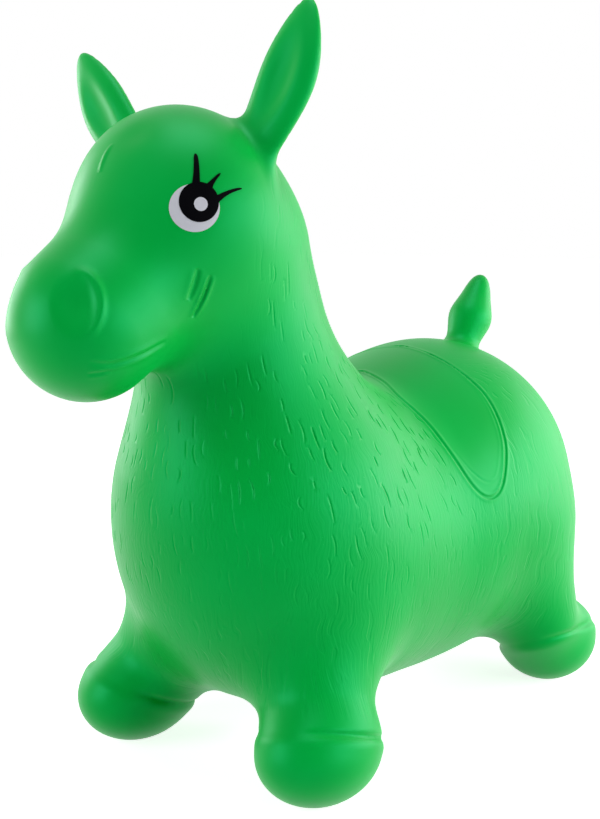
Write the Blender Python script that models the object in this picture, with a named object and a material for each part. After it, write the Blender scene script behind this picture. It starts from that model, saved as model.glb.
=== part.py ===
"""Bouncy ride-on horse, an air-filled toy moulded in soft PVC.

One thin skin is blown into round chambers that flow into each other: rump, belly, chest, neck,
head, two ears that serve as handles, a tail and four short legs with flat-soled hooves. The skin
is divided where it bends or squashes in use. Under the belly sits the air valve with its plug.
Lengths are in metres. The nose points to -Y, the horse's left is +X and the floor is z = 0.
"""
import math
from collections import namedtuple

import bmesh
import bpy
import numpy as np

# Skin and seams
WALL = 0.0022
SOLE_WALL = 0.0030
SEAM_GAP = 0.0003

# Trunk: three chambers, each with its centre and its half width, half length and half height
RUMP_CENTRE = (0.0, 0.1495, 0.1665)
RUMP_RADII = (0.1235, 0.1230, 0.1250)
BELLY_CENTRE = (0.0, 0.0545, 0.1440)
BELLY_RADII = (0.1130, 0.1490, 0.1155)
CHEST_CENTRE = (0.0, -0.0600, 0.1620)
CHEST_RADII = (0.1100, 0.1025, 0.1170)
RUMP_BLEND = 0.050
CHEST_BLEND = 0.060

# Neck: a leaning round cone, narrower than it is deep, that starts at shares of the chest's radii
NECK_BASE_SHARES = (0.0, -0.117, 0.526)
NECK_REACH = (0.0, -0.0275, 0.1390)
NECK_BASE_RADIUS = 0.0795
NECK_TOP_RADIUS = 0.0630
NECK_WIDTH_SHARE = 0.92
NECK_BLEND = 0.060
NECK_SEAM_TILT_DEG = 20.0
NECK_SEAM_UP = 0.055
NECK_BAND = 0.034

# Head: the cranium on the neck's top and the muzzle that hangs forward from it
CRANIUM_OFFSET = (0.0, -0.0435, 0.0320)
CRANIUM_RADII = (0.0720, 0.0640, 0.0690)
MUZZLE_ROOT_OFFSET = (0.0, 0.0060, -0.0110)
MUZZLE_REACH = (0.0, -0.0855, -0.0560)
MUZZLE_ROOT_RADIUS = 0.0555
MUZZLE_TIP_RADIUS = 0.0500
MUZZLE_WIDTH_SHARE = 0.96
MUZZLE_BLEND = 0.030
HEAD_BLEND = 0.035

# Face: dents for the nostrils and a groove for the mouth, by angles seen from the muzzle's tip ball
NOSTRIL_TURN_DEG = 42.0
NOSTRIL_RISE_DEG = 16.0
NOSTRIL_RADIUS = 0.0170
NOSTRIL_DEPTH = 0.0045
NOSTRIL_BLEND = 0.004
MOUTH_TURNS_DEG = (48.0, 121.0)
MOUTH_RISES_DEG = (-26.0, -13.0)
MOUTH_GROOVE_RADIUS = 0.0011
MOUTH_STEPS = 8

# Ears: flattened leaves with a hollow in front, seated at shares of the cranium's radii
EAR_SEAT_SHARES = (0.580, 0.2815, 0.386)
EAR_LENGTH = 0.1158
EAR_ROOT_RADIUS = 0.0169
EAR_SWELL_RADIUS = 0.0242
EAR_CREST_SHARE = 0.646
EAR_SPREAD_SHARE = 0.339
EAR_TIP_POWER = 3.2
EAR_BOW = 0.0061
EAR_THICKNESS_SHARE = 0.44
EAR_ROOT_BLEND = 0.012
EAR_DISH_RADII = (0.0130, 0.0080, 0.0400)
EAR_DISH_DEPTH = 0.0055
EAR_DISH_HEIGHT = 0.0640
EAR_DISH_BLEND = 0.004
LEFT_EAR_LEAN_DEG = 19.0
LEFT_EAR_PITCH_DEG = -12.5
RIGHT_EAR_LEAN_DEG = 42.0
RIGHT_EAR_PITCH_DEG = -2.8
EAR_YAW_DEG = 1.0
EAR_SEAM_LIFT = 0.010
EAR_BAND_TOP = 0.047

# Legs: round cones that leave the chest and the rump at shares of those chambers' radii
FRONT_LEG_SEAT_SHARES = (0.464, -0.010, -0.440)
FRONT_LEG_REACH = (0.0275, -0.0310, -0.0555)
FRONT_LEG_TOP_RADIUS = 0.0475
FRONT_LEG_END_RADIUS = 0.0380
REAR_LEG_SEAT_SHARES = (0.530, 0.142, -0.272)
REAR_LEG_REACH = (0.0270, 0.0165, -0.0735)
REAR_LEG_TOP_RADIUS = 0.0560
REAR_LEG_END_RADIUS = 0.0355
LEG_BLEND = 0.030

# Hooves: round feet pressed flat at the floor and set off from the leg by a slanted band
FRONT_HOOF_OFFSET = (0.0105, -0.0110)
FRONT_HOOF_RADII = (0.0400, 0.0490, 0.0365)
FRONT_BAND_OUT_DEG = 14.0
FRONT_BAND_AHEAD_DEG = 20.0
FRONT_BAND_RISE = 0.0110
REAR_HOOF_OFFSET = (-0.0045, 0.0285)
REAR_HOOF_RADII = (0.0410, 0.0445, 0.0370)
REAR_BAND_OUT_DEG = 20.0
REAR_BAND_AHEAD_DEG = 2.0
REAR_BAND_RISE = 0.0050
SOLE_PRESS = 0.0015
HOOF_BLEND = 0.012
FOOT_CUT_RADIUS = 0.063
FOOT_CUT_TOP = 0.044
FOOT_CUT_BOTTOM = 0.120

# Tail: a narrow root, a fuller middle and a rounded tip, seated at shares of the rump's radii
TAIL_SEAT_SHARES = (0.0, 0.3815, 0.818)
TAIL_TILT_DEG = 29.3
TAIL_LENGTH = 0.0839
TAIL_ROOT_RADIUS = 0.0141
TAIL_SWELL_RADIUS = 0.0192
TAIL_CREST_SHARE = 0.516
TAIL_SPREAD_SHARE = 0.187
TAIL_TIP_POWER = 5.2
TAIL_BOW = 0.0019
TAIL_ROOT_BLEND = 0.012
TAIL_SEAM_UP = 0.0170
TAIL_BAND = 0.0120

# Saddle: a groove in the skin round a seat with a lobe down each flank, narrowed at the ridge
SADDLE_MIDDLE_SHARES = (0.0, 0.148, 0.052)
SADDLE_HALF_LENGTH = 0.0346
SADDLE_REACH_DEG = 74.0
SADDLE_CORNER_POWER = 2.6
SADDLE_NOTCH = 0.0175
SADDLE_NOTCH_DEG = 14.0
SADDLE_GROOVE_RADIUS = 0.0014
SADDLE_STEPS = 52
GROOVE_SIDES = 5
GROOVE_LIFT_SHARE = 0.25

# Air valve: a moulded-in seat ring under the belly and the plug pushed into it
VALVE_NECK_RADIUS = 0.0090
VALVE_FLANGE_RADIUS = 0.0130
VALVE_FLANGE_THICKNESS = 0.0020
VALVE_BORE_RADIUS = 0.0040
VALVE_LENGTH = 0.0120
PLUG_HEAD_RADIUS = 0.0075
PLUG_HEAD_THICKNESS = 0.0020
PLUG_RIM = 0.0005
PLUG_TAPER = 0.0012
PLUG_LENGTH = 0.0150

# Eyes: layers of paint on the head, placed by two angles seen from the cranium's centre
EYE_TURN_DEG = 54.0
EYE_RISE_DEG = 2.0
EYE_WHITE_RADII = (0.0158, 0.0148)
EYE_PUPIL_RADII = (0.0124, 0.0124)
EYE_PUPIL_BACK = 0.0028
EYE_PUPIL_UP = 0.0036
EYE_GLINT_RADII = (0.0042, 0.0042)
EYE_GLINT_BACK = 0.0009
EYE_GLINT_DOWN = 0.0015
LASH_STARTS_DEG = (95.0, 53.0, 12.0)
LASH_WAYS_DEG = (85.0, 49.0, 17.0)
LASH_LENGTHS = (0.0190, 0.0115, 0.0195)
LASH_ROOT_WIDTH = 0.0028
LASH_TIP_WIDTH = 0.0008
LASH_STEPS = 4
PAINT = 0.0003
PAINT_GAP = 0.0004

# Facets: spacing of the points on each blank and how many faces are kept of them
BODY_CELL = 0.0075
BODY_KEEP_SHARE = 0.105
BODY_LINING_CELL = 0.0100
BODY_LINING_KEEP_SHARE = 0.13
HEAD_CELL = 0.0050
HEAD_KEEP_SHARE = 0.11
HEAD_LINING_CELL = 0.0050
HEAD_LINING_KEEP_SHARE = 0.05
TWIG_CELL = 0.0032
TWIG_KEEP_SHARE = 0.16
TWIG_LINING_CELL = 0.0030
TWIG_LINING_KEEP_SHARE = 0.10
ROUND_SEGMENTS = 20
CUT_SEGMENTS = 24
DISC_RINGS = 2
BALL_SUBDIVISIONS = 3
BLOCK_SIZE = 0.8
SPARE = 0.010
RIM_BLEND = 0.004
NET_PASSES = 2
PUSH_STEPS = 10
PUSH_LIMIT = 0.004
PUSH_SLOPE_FLOOR_SHARE = 0.1
GRAZE_FLOOR_SHARE = 0.3
SLOPE_STEP = 0.0002
HALVINGS = 40
TINY = 1e-9
SHARP_ANGLE_DEG = 40.0

# Colours and roughness of the skin, the paint and the valve
SKIN_GREEN = (0.010, 0.420, 0.085)
SKIN_ROUGHNESS = 0.32
EYE_WHITE = (0.620, 0.600, 0.680)
EYE_BLACK = (0.008, 0.008, 0.010)
PAINT_ROUGHNESS = 0.35
VALVE_WHITE = (0.800, 0.800, 0.780)
VALVE_ROUGHNESS = 0.45

Leg = namedtuple("Leg", "seat end top_radius end_radius hoof hoof_radii axis band")
Plane = namedtuple("Plane", "point normal")


def vec(values):
    """The values as a vector of numbers."""
    return np.array(values, dtype=float)


def unit(values):
    """A vector of the same direction and length one."""
    return vec(values) / np.linalg.norm(values)


def seat_in(centre, radii, shares):
    """A point inside a chamber, at shares of its three radii from its centre."""
    return vec(centre) + vec(radii) * vec(shares)


def even(radius):
    """Three equal radii."""
    return (radius, radius, radius)


def make_leg(chamber, seat_shares, reach, radii, hoof_offset, hoof_radii, band_degs, rise):
    """Places of one left leg: its cone, its hoof and the slanted band between them."""
    seat = seat_in(*chamber, seat_shares)
    end = seat + vec(reach)
    hoof = vec((end[0] + hoof_offset[0], end[1] + hoof_offset[1], hoof_radii[2] - SOLE_PRESS))
    out, ahead = (math.tan(math.radians(angle)) for angle in band_degs)
    axis = unit((out, -ahead, -1.0))
    middle = (end + hoof) / 2
    band = middle - ((middle - hoof) @ axis + rise) * axis
    return Leg(seat, end, radii[0], radii[1], hoof, hoof_radii, axis, band)


NECK_BASE = seat_in(CHEST_CENTRE, CHEST_RADII, NECK_BASE_SHARES)
NECK_TOP = NECK_BASE + vec(NECK_REACH)
CRANIUM = NECK_TOP + vec(CRANIUM_OFFSET)
MUZZLE_ROOT = CRANIUM + vec(MUZZLE_ROOT_OFFSET)
MUZZLE_TIP = MUZZLE_ROOT + vec(MUZZLE_REACH)
EAR_SEAT = seat_in(CRANIUM, CRANIUM_RADII, EAR_SEAT_SHARES)
TAIL_SEAT = seat_in(RUMP_CENTRE, RUMP_RADII, TAIL_SEAT_SHARES)
SADDLE_MIDDLE = seat_in(BELLY_CENTRE, BELLY_RADII, SADDLE_MIDDLE_SHARES)
LEGS = {
    "front": make_leg(
        (CHEST_CENTRE, CHEST_RADII), FRONT_LEG_SEAT_SHARES, FRONT_LEG_REACH,
        (FRONT_LEG_TOP_RADIUS, FRONT_LEG_END_RADIUS), FRONT_HOOF_OFFSET, FRONT_HOOF_RADII,
        (FRONT_BAND_OUT_DEG, FRONT_BAND_AHEAD_DEG), FRONT_BAND_RISE),
    "rear": make_leg(
        (RUMP_CENTRE, RUMP_RADII), REAR_LEG_SEAT_SHARES, REAR_LEG_REACH,
        (REAR_LEG_TOP_RADIUS, REAR_LEG_END_RADIUS), REAR_HOOF_OFFSET, REAR_HOOF_RADII,
        (REAR_BAND_OUT_DEG, REAR_BAND_AHEAD_DEG), REAR_BAND_RISE),
}
SIDES = {"left": 1.0, "right": -1.0}


def mirrored(point, sign):
    """The point itself for the left side, or its mirror image for the right side."""
    return vec(point) * vec((sign, 1.0, 1.0))


def ear_axes(side):
    """Rows are the left-hand ear's own directions: across, through and along the leaf."""
    lean_deg, pitch_deg = {
        "left": (LEFT_EAR_LEAN_DEG, LEFT_EAR_PITCH_DEG),
        "right": (RIGHT_EAR_LEAN_DEG, RIGHT_EAR_PITCH_DEG),
    }[side]
    lean, pitch, yaw = (math.radians(angle) for angle in (lean_deg, pitch_deg, EAR_YAW_DEG))
    tip_out = vec(((math.cos(lean), 0, -math.sin(lean)), (0, 1, 0), (math.sin(lean), 0, math.cos(lean))))
    tip_back = vec(((1, 0, 0), (0, math.cos(pitch), math.sin(pitch)),
                    (0, -math.sin(pitch), math.cos(pitch))))
    turn = vec(((math.cos(yaw), math.sin(yaw), 0), (-math.sin(yaw), math.cos(yaw), 0), (0, 0, 1)))
    return turn @ tip_back @ tip_out


def ellipsoid(points, centre, radii):
    """Distance outside an ellipsoid: negative within it, near zero on its surface."""
    offset = points - vec(centre)
    scaled = np.linalg.norm(offset / vec(radii), axis=1) + TINY
    steep = np.linalg.norm(offset / vec(radii) ** 2, axis=1) + TINY
    return scaled * (scaled - 1.0) / steep


def round_cone(points, start, end, start_radius, end_radius, width_share=1.0):
    """Distance outside two balls and the cone that wraps them, narrowed along X by a share."""
    squeeze = vec((1.0 / width_share, 1.0, 1.0))
    offset = (points - vec(start)) * squeeze
    axis = (vec(end) - vec(start)) * squeeze
    length2 = axis @ axis
    drop = start_radius - end_radius
    slant2 = length2 - drop * drop
    along = offset @ axis
    past = along - length2
    side2 = ((offset * length2 - along[:, None] * axis) ** 2).sum(axis=1)
    start2 = along * along * length2
    end2 = past * past * length2
    limit = np.sign(drop) * drop * drop * side2
    near_end = np.sqrt(side2 + end2) / length2 - end_radius
    near_start = np.sqrt(side2 + start2) / length2 - start_radius
    flank = (np.sqrt(side2 * slant2 / length2) + along * drop) / length2 - start_radius
    inner = np.where(np.sign(along) * slant2 * start2 < limit, near_start, flank)
    return np.where(np.sign(past) * slant2 * end2 > limit, near_end, inner) * width_share


def blend(first, second, reach):
    """Union of two forms with a soft fillet where they come within reach of each other."""
    overlap = np.maximum(reach - np.abs(first - second), 0.0) / reach
    return np.minimum(first, second) - overlap * overlap * reach / 4


def beyond(points, plane):
    """Signed height of the points over a plane."""
    return (points - plane.point) @ plane.normal


def raised(plane, height):
    """The same plane further along its normal."""
    return Plane(plane.point + height * plane.normal, plane.normal)


def turned_over(plane):
    """The same plane facing the other way."""
    return Plane(plane.point, -plane.normal)


def tail_axes():
    """Rows are the tail's own directions: across, rearwards and along it."""
    tilt = math.radians(TAIL_TILT_DEG)
    return vec(((1, 0, 0), (0, math.cos(tilt), -math.sin(tilt)), (0, math.sin(tilt), math.cos(tilt))))


def bud(points, length, radii, crest, spread, power):
    """A round bud along Z that swells from its root's radius to a crest and closes at its tip."""
    share = points[:, 2] / length
    full = radii[0] + (radii[1] - radii[0]) * np.exp(-((share - crest) / spread) ** 2)
    radius2 = full ** 2 * (1.0 - np.sign(share) * np.abs(share) ** power)
    wide2 = points[:, 0] ** 2 + points[:, 1] ** 2
    side = (wide2 - radius2) / np.sqrt(2.0 * (wide2 + full ** 2))
    return np.maximum(side, -radii[0] - points[:, 2])


def bowed(points, way, height, length):
    """The points moved back from a bud whose middle is bowed to one side."""
    share = np.clip(points[:, 2] / length, 0.0, 1.0)
    return points - height * np.sin(np.pi * share)[:, None] * vec(way)


def ear_form(points, side):
    """One ear: a flattened bud with a long dish in its front face."""
    local = (points * vec((SIDES[side], 1.0, 1.0)) - EAR_SEAT) @ ear_axes(side).T
    local = bowed(local, (1.0, 0.0, 0.0), EAR_BOW, EAR_LENGTH)
    leaf = bud(local / vec((1.0, EAR_THICKNESS_SHARE, 1.0)), EAR_LENGTH,
               (EAR_ROOT_RADIUS, EAR_SWELL_RADIUS), EAR_CREST_SHARE, EAR_SPREAD_SHARE, EAR_TIP_POWER)
    leaf *= math.sqrt(EAR_THICKNESS_SHARE)
    face = -EAR_SWELL_RADIUS * EAR_THICKNESS_SHARE
    dish_centre = (0.0, face + EAR_DISH_DEPTH - EAR_DISH_RADII[1], EAR_DISH_HEIGHT)
    dish = ellipsoid(local, dish_centre, EAR_DISH_RADII)
    return -blend(-leaf, dish, EAR_DISH_BLEND)


def tail_form(points):
    """The tail: a round bud, bowed a little to the rear."""
    local = bowed((points - TAIL_SEAT) @ tail_axes().T, (0.0, 1.0, 0.0), TAIL_BOW, TAIL_LENGTH)
    return bud(local, TAIL_LENGTH, (TAIL_ROOT_RADIUS, TAIL_SWELL_RADIUS), TAIL_CREST_SHARE,
               TAIL_SPREAD_SHARE, TAIL_TIP_POWER)


def ray_by(turn_deg, rise_deg):
    """A direction by its turn from straight ahead towards the left and its rise over the level."""
    turn, rise = math.radians(turn_deg), math.radians(rise_deg)
    return vec((math.sin(turn) * math.cos(rise), -math.cos(turn) * math.cos(rise), math.sin(rise)))


def horse_form(points):
    """The whole blown skin as one form: negative inside it and zero on its outer face."""
    half = points.copy()
    half[:, 0] = np.abs(half[:, 0])
    form = ellipsoid(half, BELLY_CENTRE, BELLY_RADII)
    form = blend(form, ellipsoid(half, RUMP_CENTRE, RUMP_RADII), RUMP_BLEND)
    form = blend(form, ellipsoid(half, CHEST_CENTRE, CHEST_RADII), CHEST_BLEND)
    neck = round_cone(half, NECK_BASE, NECK_TOP, NECK_BASE_RADIUS, NECK_TOP_RADIUS,
                      NECK_WIDTH_SHARE)
    form = blend(form, neck, NECK_BLEND)
    muzzle = round_cone(half, MUZZLE_ROOT, MUZZLE_TIP, MUZZLE_ROOT_RADIUS, MUZZLE_TIP_RADIUS,
                        MUZZLE_WIDTH_SHARE)
    out = ray_by(NOSTRIL_TURN_DEG, NOSTRIL_RISE_DEG) * vec((MUZZLE_WIDTH_SHARE, 1.0, 1.0))
    nostril = MUZZLE_TIP + out * (MUZZLE_TIP_RADIUS + NOSTRIL_RADIUS - NOSTRIL_DEPTH)
    muzzle = -blend(-muzzle, ellipsoid(half, nostril, even(NOSTRIL_RADIUS)), NOSTRIL_BLEND)
    head = blend(ellipsoid(half, CRANIUM, CRANIUM_RADII), muzzle, MUZZLE_BLEND)
    form = blend(form, head, HEAD_BLEND)
    form = blend(form, np.minimum(*(ear_form(points, side) for side in SIDES)), EAR_ROOT_BLEND)
    for leg in LEGS.values():
        limb = round_cone(half, leg.seat, leg.end, leg.top_radius, leg.end_radius)
        limb = blend(limb, ellipsoid(half, leg.hoof, leg.hoof_radii), HOOF_BLEND)
        form = blend(form, limb, LEG_BLEND)
    return blend(form, tail_form(points), TAIL_ROOT_BLEND)


def slope(form, points):
    """Gradient of a form at each point, from central differences."""
    steps = np.eye(3) * SLOPE_STEP
    return np.stack([(form(points + s) - form(points - s)) / (2 * SLOPE_STEP) for s in steps], axis=1)


def pushed_onto(form, points):
    """The points moved along the form's slope until they lie on its surface."""
    for _ in range(PUSH_STEPS):
        gradient = slope(form, points)
        steep = np.maximum((gradient ** 2).sum(axis=1), PUSH_SLOPE_FLOOR_SHARE)
        move = gradient * (form(points) / steep)[:, None]
        size = np.linalg.norm(move, axis=1)[:, None]
        points = points - move * np.minimum(1.0, PUSH_LIMIT / np.maximum(size, TINY))
    return points


def way_out(form, start, direction):
    """How far a ray from inside a form runs until it leaves it, found by halving the stretch."""
    near, far = 0.0, 2 * max(RUMP_RADII)
    for _ in range(HALVINGS):
        middle = (near + far) / 2
        if form((start + middle * direction)[None])[0] < 0:
            near = middle
        else:
            far = middle
    return near


def surface_point(start, direction):
    """Where a ray from inside the horse leaves its skin, and the way the skin faces there."""
    start, direction = vec(start), unit(direction)
    point = start + way_out(horse_form, start, direction) * direction
    return point, unit(slope(horse_form, point[None])[0])


def link(name, mesh):
    """A new object of that name in the scene's collection."""
    obj = bpy.data.objects.new(name, mesh)
    bpy.context.scene.collection.objects.link(obj)
    return obj


def paint(obj, colour, roughness):
    """Gives the object its own material."""
    material = bpy.data.materials.new(obj.name)
    material.use_nodes = True
    shader = material.node_tree.nodes["Principled BSDF"]
    shader.inputs["Base Color"].default_value = (*colour, 1.0)
    shader.inputs["Roughness"].default_value = roughness
    shader.inputs["Metallic"].default_value = 0.0
    material.diffuse_color = (*colour, 1.0)
    obj.data.materials.clear()
    obj.data.materials.append(material)


def evaluated(obj, name):
    """A plain mesh of the object with its modifiers carried out. The object itself is removed."""
    bpy.context.view_layer.update()
    graph = bpy.context.evaluated_depsgraph_get()
    mesh = bpy.data.meshes.new_from_object(obj.evaluated_get(graph))
    mesh.name = name
    bpy.data.objects.remove(obj)
    return mesh


def unit_ball():
    """Points spread evenly over a ball of radius one."""
    bm = bmesh.new()
    bmesh.ops.create_icosphere(bm, subdivisions=BALL_SUBDIVISIONS, radius=1.0)
    points = vec([vert.co for vert in bm.verts])
    bm.free()
    return points


def add_hull(bm, balls, axes, limits, inset):
    """Adds the convex hull of one or two stretched balls, drawn in and flattened at its limits."""
    points = [vec(centre) + (unit_ball() * (vec(radii) - inset)) @ axes for centre, radii in balls]
    points = np.vstack(points)
    for plane in limits:
        points -= np.maximum(beyond(points, plane) + inset, 0.0)[:, None] * plane.normal
    verts = [bm.verts.new(point) for point in points]
    hull = bmesh.ops.convex_hull(bm, input=verts)
    loose = [item for item in hull["geom_interior"] if isinstance(item, bmesh.types.BMVert)]
    bmesh.ops.delete(bm, geom=loose, context="VERTS")


def put_coordinates(mesh, points):
    """Writes the points back as the mesh's vertices."""
    mesh.vertices.foreach_set("co", points.astype(np.float32).ravel())
    mesh.update()


def coordinates(mesh):
    """The mesh's vertices as an array."""
    flat = np.empty(len(mesh.vertices) * 3)
    mesh.vertices.foreach_get("co", flat)
    return flat.reshape(-1, 3)


def reshaped(name, mesh, form, kind, **settings):
    """The mesh after one modifier, with its points pushed onto the form."""
    net = link(name, mesh)
    modifier = net.modifiers.new(kind, kind)
    for setting, value in settings.items():
        setattr(modifier, setting, value)
    mesh = evaluated(net, name)
    put_coordinates(mesh, pushed_onto(form, coordinates(mesh)))
    return mesh


def blown(name, hulls, limits, inset, form, cell, keep_share):
    """Fuses the hulls into one even net, blows it out onto the form and thins out its faces."""
    bm = bmesh.new()
    for balls, axes in hulls:
        add_hull(bm, balls, axes, limits, inset)
    mesh = bpy.data.meshes.new(name)
    bm.to_mesh(mesh)
    bm.free()
    for _ in range(NET_PASSES):
        mesh = reshaped(name, mesh, form, "REMESH", mode="VOXEL", voxel_size=cell)
    return reshaped(name, mesh, form, "DECIMATE", ratio=keep_share, use_collapse_triangulate=True)


def hollow(name, hulls, limits, cells, keep_shares):
    """A blank of the skin within its limits: the outer face and, one wall further in, the lining."""
    def form(points):
        kept = horse_form(points)
        for plane in limits:
            kept = -blend(-kept, -beyond(points, plane), RIM_BLEND)
        return kept

    def lining(points):
        return -blend(-form(points) - WALL, points[:, 2] - SOLE_WALL, RIM_BLEND)

    outer = blown(name + "_outer", hulls, limits, 0.0, form, cells[0], keep_shares[0])
    inner = blown(name + "_lining", hulls, limits, WALL, lining, cells[1], keep_shares[1])
    inner.flip_normals()
    bm = bmesh.new()
    bm.from_mesh(outer)
    bm.from_mesh(inner)
    blank = bpy.data.meshes.new(name)
    bm.to_mesh(blank)
    bm.free()
    return blank


def cutter(name, bm, piece, operation):
    """A hidden solid and the Boolean that cuts the piece with it."""
    mesh = bpy.data.meshes.new(name)
    bm.normal_update()
    bmesh.ops.recalc_face_normals(bm, faces=bm.faces)
    bm.to_mesh(mesh)
    bm.free()
    tool = link(name, mesh)
    tool.hide_render = True
    tool.display_type = "WIRE"
    cut = piece.modifiers.new(name, "BOOLEAN")
    cut.operation = operation
    cut.object = tool
    cut.solver = "EXACT"
    return tool


def frame_along(direction):
    """Rows of a right-handed frame whose third direction is the one given."""
    along = unit(direction)
    side = unit(np.cross((0.0, 1.0, 0.0), along))
    return vec((side, np.cross(along, side), along))


def slab(plane, low, high):
    """A wide block between two heights over a plane."""
    bm = bmesh.new()
    bmesh.ops.create_cube(bm, size=1.0)
    rows = frame_along(plane.normal)
    for vert in bm.verts:
        x, y, z = vert.co
        local = vec((x * BLOCK_SIZE, y * BLOCK_SIZE, high if z > 0 else low))
        vert.co = plane.point + local @ rows
    return bm


def cut_beyond(piece, name, plane, height):
    """Takes away what lies more than the given height over the plane."""
    cutter(name, slab(plane, height, height + BLOCK_SIZE), piece, "DIFFERENCE")


def keep_between(piece, name, plane, low, high):
    """Keeps only what lies between two heights over the plane."""
    cutter(name, slab(plane, low, high), piece, "INTERSECT")


def foot_egg(leg, sign, gap):
    """An egg round a foot: the surface where the leg parts from the trunk, drawn in by a gap."""
    bm = bmesh.new()
    bmesh.ops.create_uvsphere(bm, u_segments=CUT_SEGMENTS, v_segments=CUT_SEGMENTS // 2, radius=1.0)
    rows = frame_along(mirrored(-leg.axis, sign))
    for vert in bm.verts:
        x, y, z = vert.co
        tall = FOOT_CUT_TOP if z > 0 else FOOT_CUT_BOTTOM
        radius = FOOT_CUT_RADIUS - gap
        vert.co = mirrored(leg.band, sign) + vec((x * radius, y * radius, z * (tall - gap))) @ rows
    return bm


def foot_drum(leg, sign, gap):
    """A drum round a foot that reaches from the band down through the floor."""
    bm = bmesh.new()
    bmesh.ops.create_cone(bm, cap_ends=True, segments=CUT_SEGMENTS, radius1=1.0, radius2=1.0, depth=1.0)
    rows = frame_along(mirrored(leg.axis, sign))
    radius = FOOT_CUT_RADIUS + SPARE
    for vert in bm.verts:
        x, y, z = vert.co
        local = vec((x * radius, y * radius, gap + (FOOT_CUT_BOTTOM if z > 0 else 0.0)))
        vert.co = mirrored(leg.band, sign) + local @ rows
    return bm


def groove(piece, name, path, radius, closed):
    """Cuts a groove of round section along a path of points on the skin."""
    path = vec(path)
    ahead = np.roll(path, -1, axis=0) - np.roll(path, 1, axis=0)
    if not closed:
        ahead[0], ahead[-1] = path[1] - path[0], path[-1] - path[-2]
    out = slope(horse_form, path)
    across = np.cross(ahead, out)
    across /= np.linalg.norm(across, axis=1)[:, None]
    out /= np.linalg.norm(out, axis=1)[:, None]
    centre = path + out * radius * GROOVE_LIFT_SHARE
    bm = bmesh.new()
    rings = []
    for i in range(GROOVE_SIDES):
        turn = math.tau * i / GROOVE_SIDES
        ring = centre + (math.cos(turn) * across + math.sin(turn) * out) * radius
        rings.append([bm.verts.new(point) for point in ring])
    count = len(path)
    for i, ring in enumerate(rings):
        other = rings[(i + 1) % GROOVE_SIDES]
        for k in range(count if closed else count - 1):
            n = (k + 1) % count
            bm.faces.new((ring[k], ring[n], other[n], other[k]))
    if not closed:
        for k in (0, count - 1):
            bm.faces.new([ring[k] for ring in rings])
    cutter(name, bm, piece, "DIFFERENCE")


def saddle_path():
    """Points on the skin round the saddle: a loop with full corners, notched ahead at the ridge."""
    points = []
    for step in range(SADDLE_STEPS):
        turn = math.tau * step / SADDLE_STEPS
        out, along = (math.copysign(abs(part) ** (2.0 / SADDLE_CORNER_POWER), part)
                      for part in (math.cos(turn), math.sin(turn)))
        lean = SADDLE_REACH_DEG * out
        start = SADDLE_MIDDLE + vec((0.0, SADDLE_HALF_LENGTH * along, 0.0))
        if along < 0:
            start[1] += SADDLE_NOTCH * math.exp(-(lean / SADDLE_NOTCH_DEG) ** 2)
        way = vec((math.sin(math.radians(lean)), 0.0, math.cos(math.radians(lean))))
        points.append(surface_point(start, way)[0])
    return points


def mouth_path(sign):
    """Points on the skin along one side of the mouth, from near the front to its raised corner."""
    points = []
    for step in range(MOUTH_STEPS):
        share = step / (MOUTH_STEPS - 1)
        turn_deg = MOUTH_TURNS_DEG[0] + (MOUTH_TURNS_DEG[1] - MOUTH_TURNS_DEG[0]) * share
        rise_deg = MOUTH_RISES_DEG[0] + (MOUTH_RISES_DEG[1] - MOUTH_RISES_DEG[0]) * share ** 2
        points.append(surface_point(MUZZLE_TIP, mirrored(ray_by(turn_deg, rise_deg), sign))[0])
    return points


def turned(profile, centre, segments):
    """A solid of revolution about a vertical line through the centre, from radius-height pairs."""
    bm = bmesh.new()
    verts = [bm.verts.new(vec(centre) + vec((radius, 0.0, height))) for radius, height in profile]
    edges = [bm.edges.new(pair) for pair in zip(verts, verts[1:])]
    if profile[0][0] > 0:
        edges.append(bm.edges.new((verts[-1], verts[0])))
    bmesh.ops.spin(bm, geom=[*verts, *edges], cent=centre, axis=(0, 0, 1), angle=math.tau,
                   steps=segments, use_merge=True)
    bmesh.ops.remove_doubles(bm, verts=bm.verts, dist=SEAM_GAP / 100)
    bmesh.ops.dissolve_degenerate(bm, edges=bm.edges, dist=SEAM_GAP / 100)
    bmesh.ops.recalc_face_normals(bm, faces=bm.faces)
    return bm


def skin_piece(name, blank, pivot):
    """An object cut from a blank, hung under an empty that stands on its joint's axis."""
    piece = link(name, blank.copy())
    piece.data.name = name
    piece.data.shade_smooth()
    paint(piece, SKIN_GREEN, SKIN_ROUGHNESS)
    hang(piece, pivot)
    return piece


def hang(piece, pivot):
    """Parents the piece to the empty without moving it."""
    if pivot is not None:
        piece.parent = pivot
        bpy.context.view_layer.update()
        piece.matrix_parent_inverse = pivot.matrix_world.inverted()


def pivot_at(name, place, parent=None):
    """An empty on a joint's axis."""
    empty = link(name, None)
    empty.empty_display_size = SPARE
    empty.location = place
    hang(empty, parent)
    return empty


def neck_planes():
    """The two seams of the neck's bending band: a low one and, one band higher, a high one."""
    tilt = math.radians(NECK_SEAM_TILT_DEG)
    normal = vec((0.0, -math.sin(tilt), math.cos(tilt)))
    point = NECK_BASE + unit(NECK_REACH) * NECK_SEAM_UP
    return Plane(point, normal), Plane(point + normal * NECK_BAND, normal)


def ear_planes(side):
    """The seam on the head under an ear, laid along the head's skin, and the one across the leaf."""
    axes = ear_axes(side)
    along = mirrored(axes[2], SIDES[side])
    seat = mirrored(EAR_SEAT, SIDES[side])

    def cranium(points):
        return ellipsoid(points, CRANIUM, CRANIUM_RADII)

    root = seat + way_out(cranium, seat, along) * along
    facing = unit((root - CRANIUM) / vec(CRANIUM_RADII) ** 2)
    return Plane(root + EAR_SEAM_LIFT * facing, facing), Plane(seat + EAR_BAND_TOP * along, along)


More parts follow.
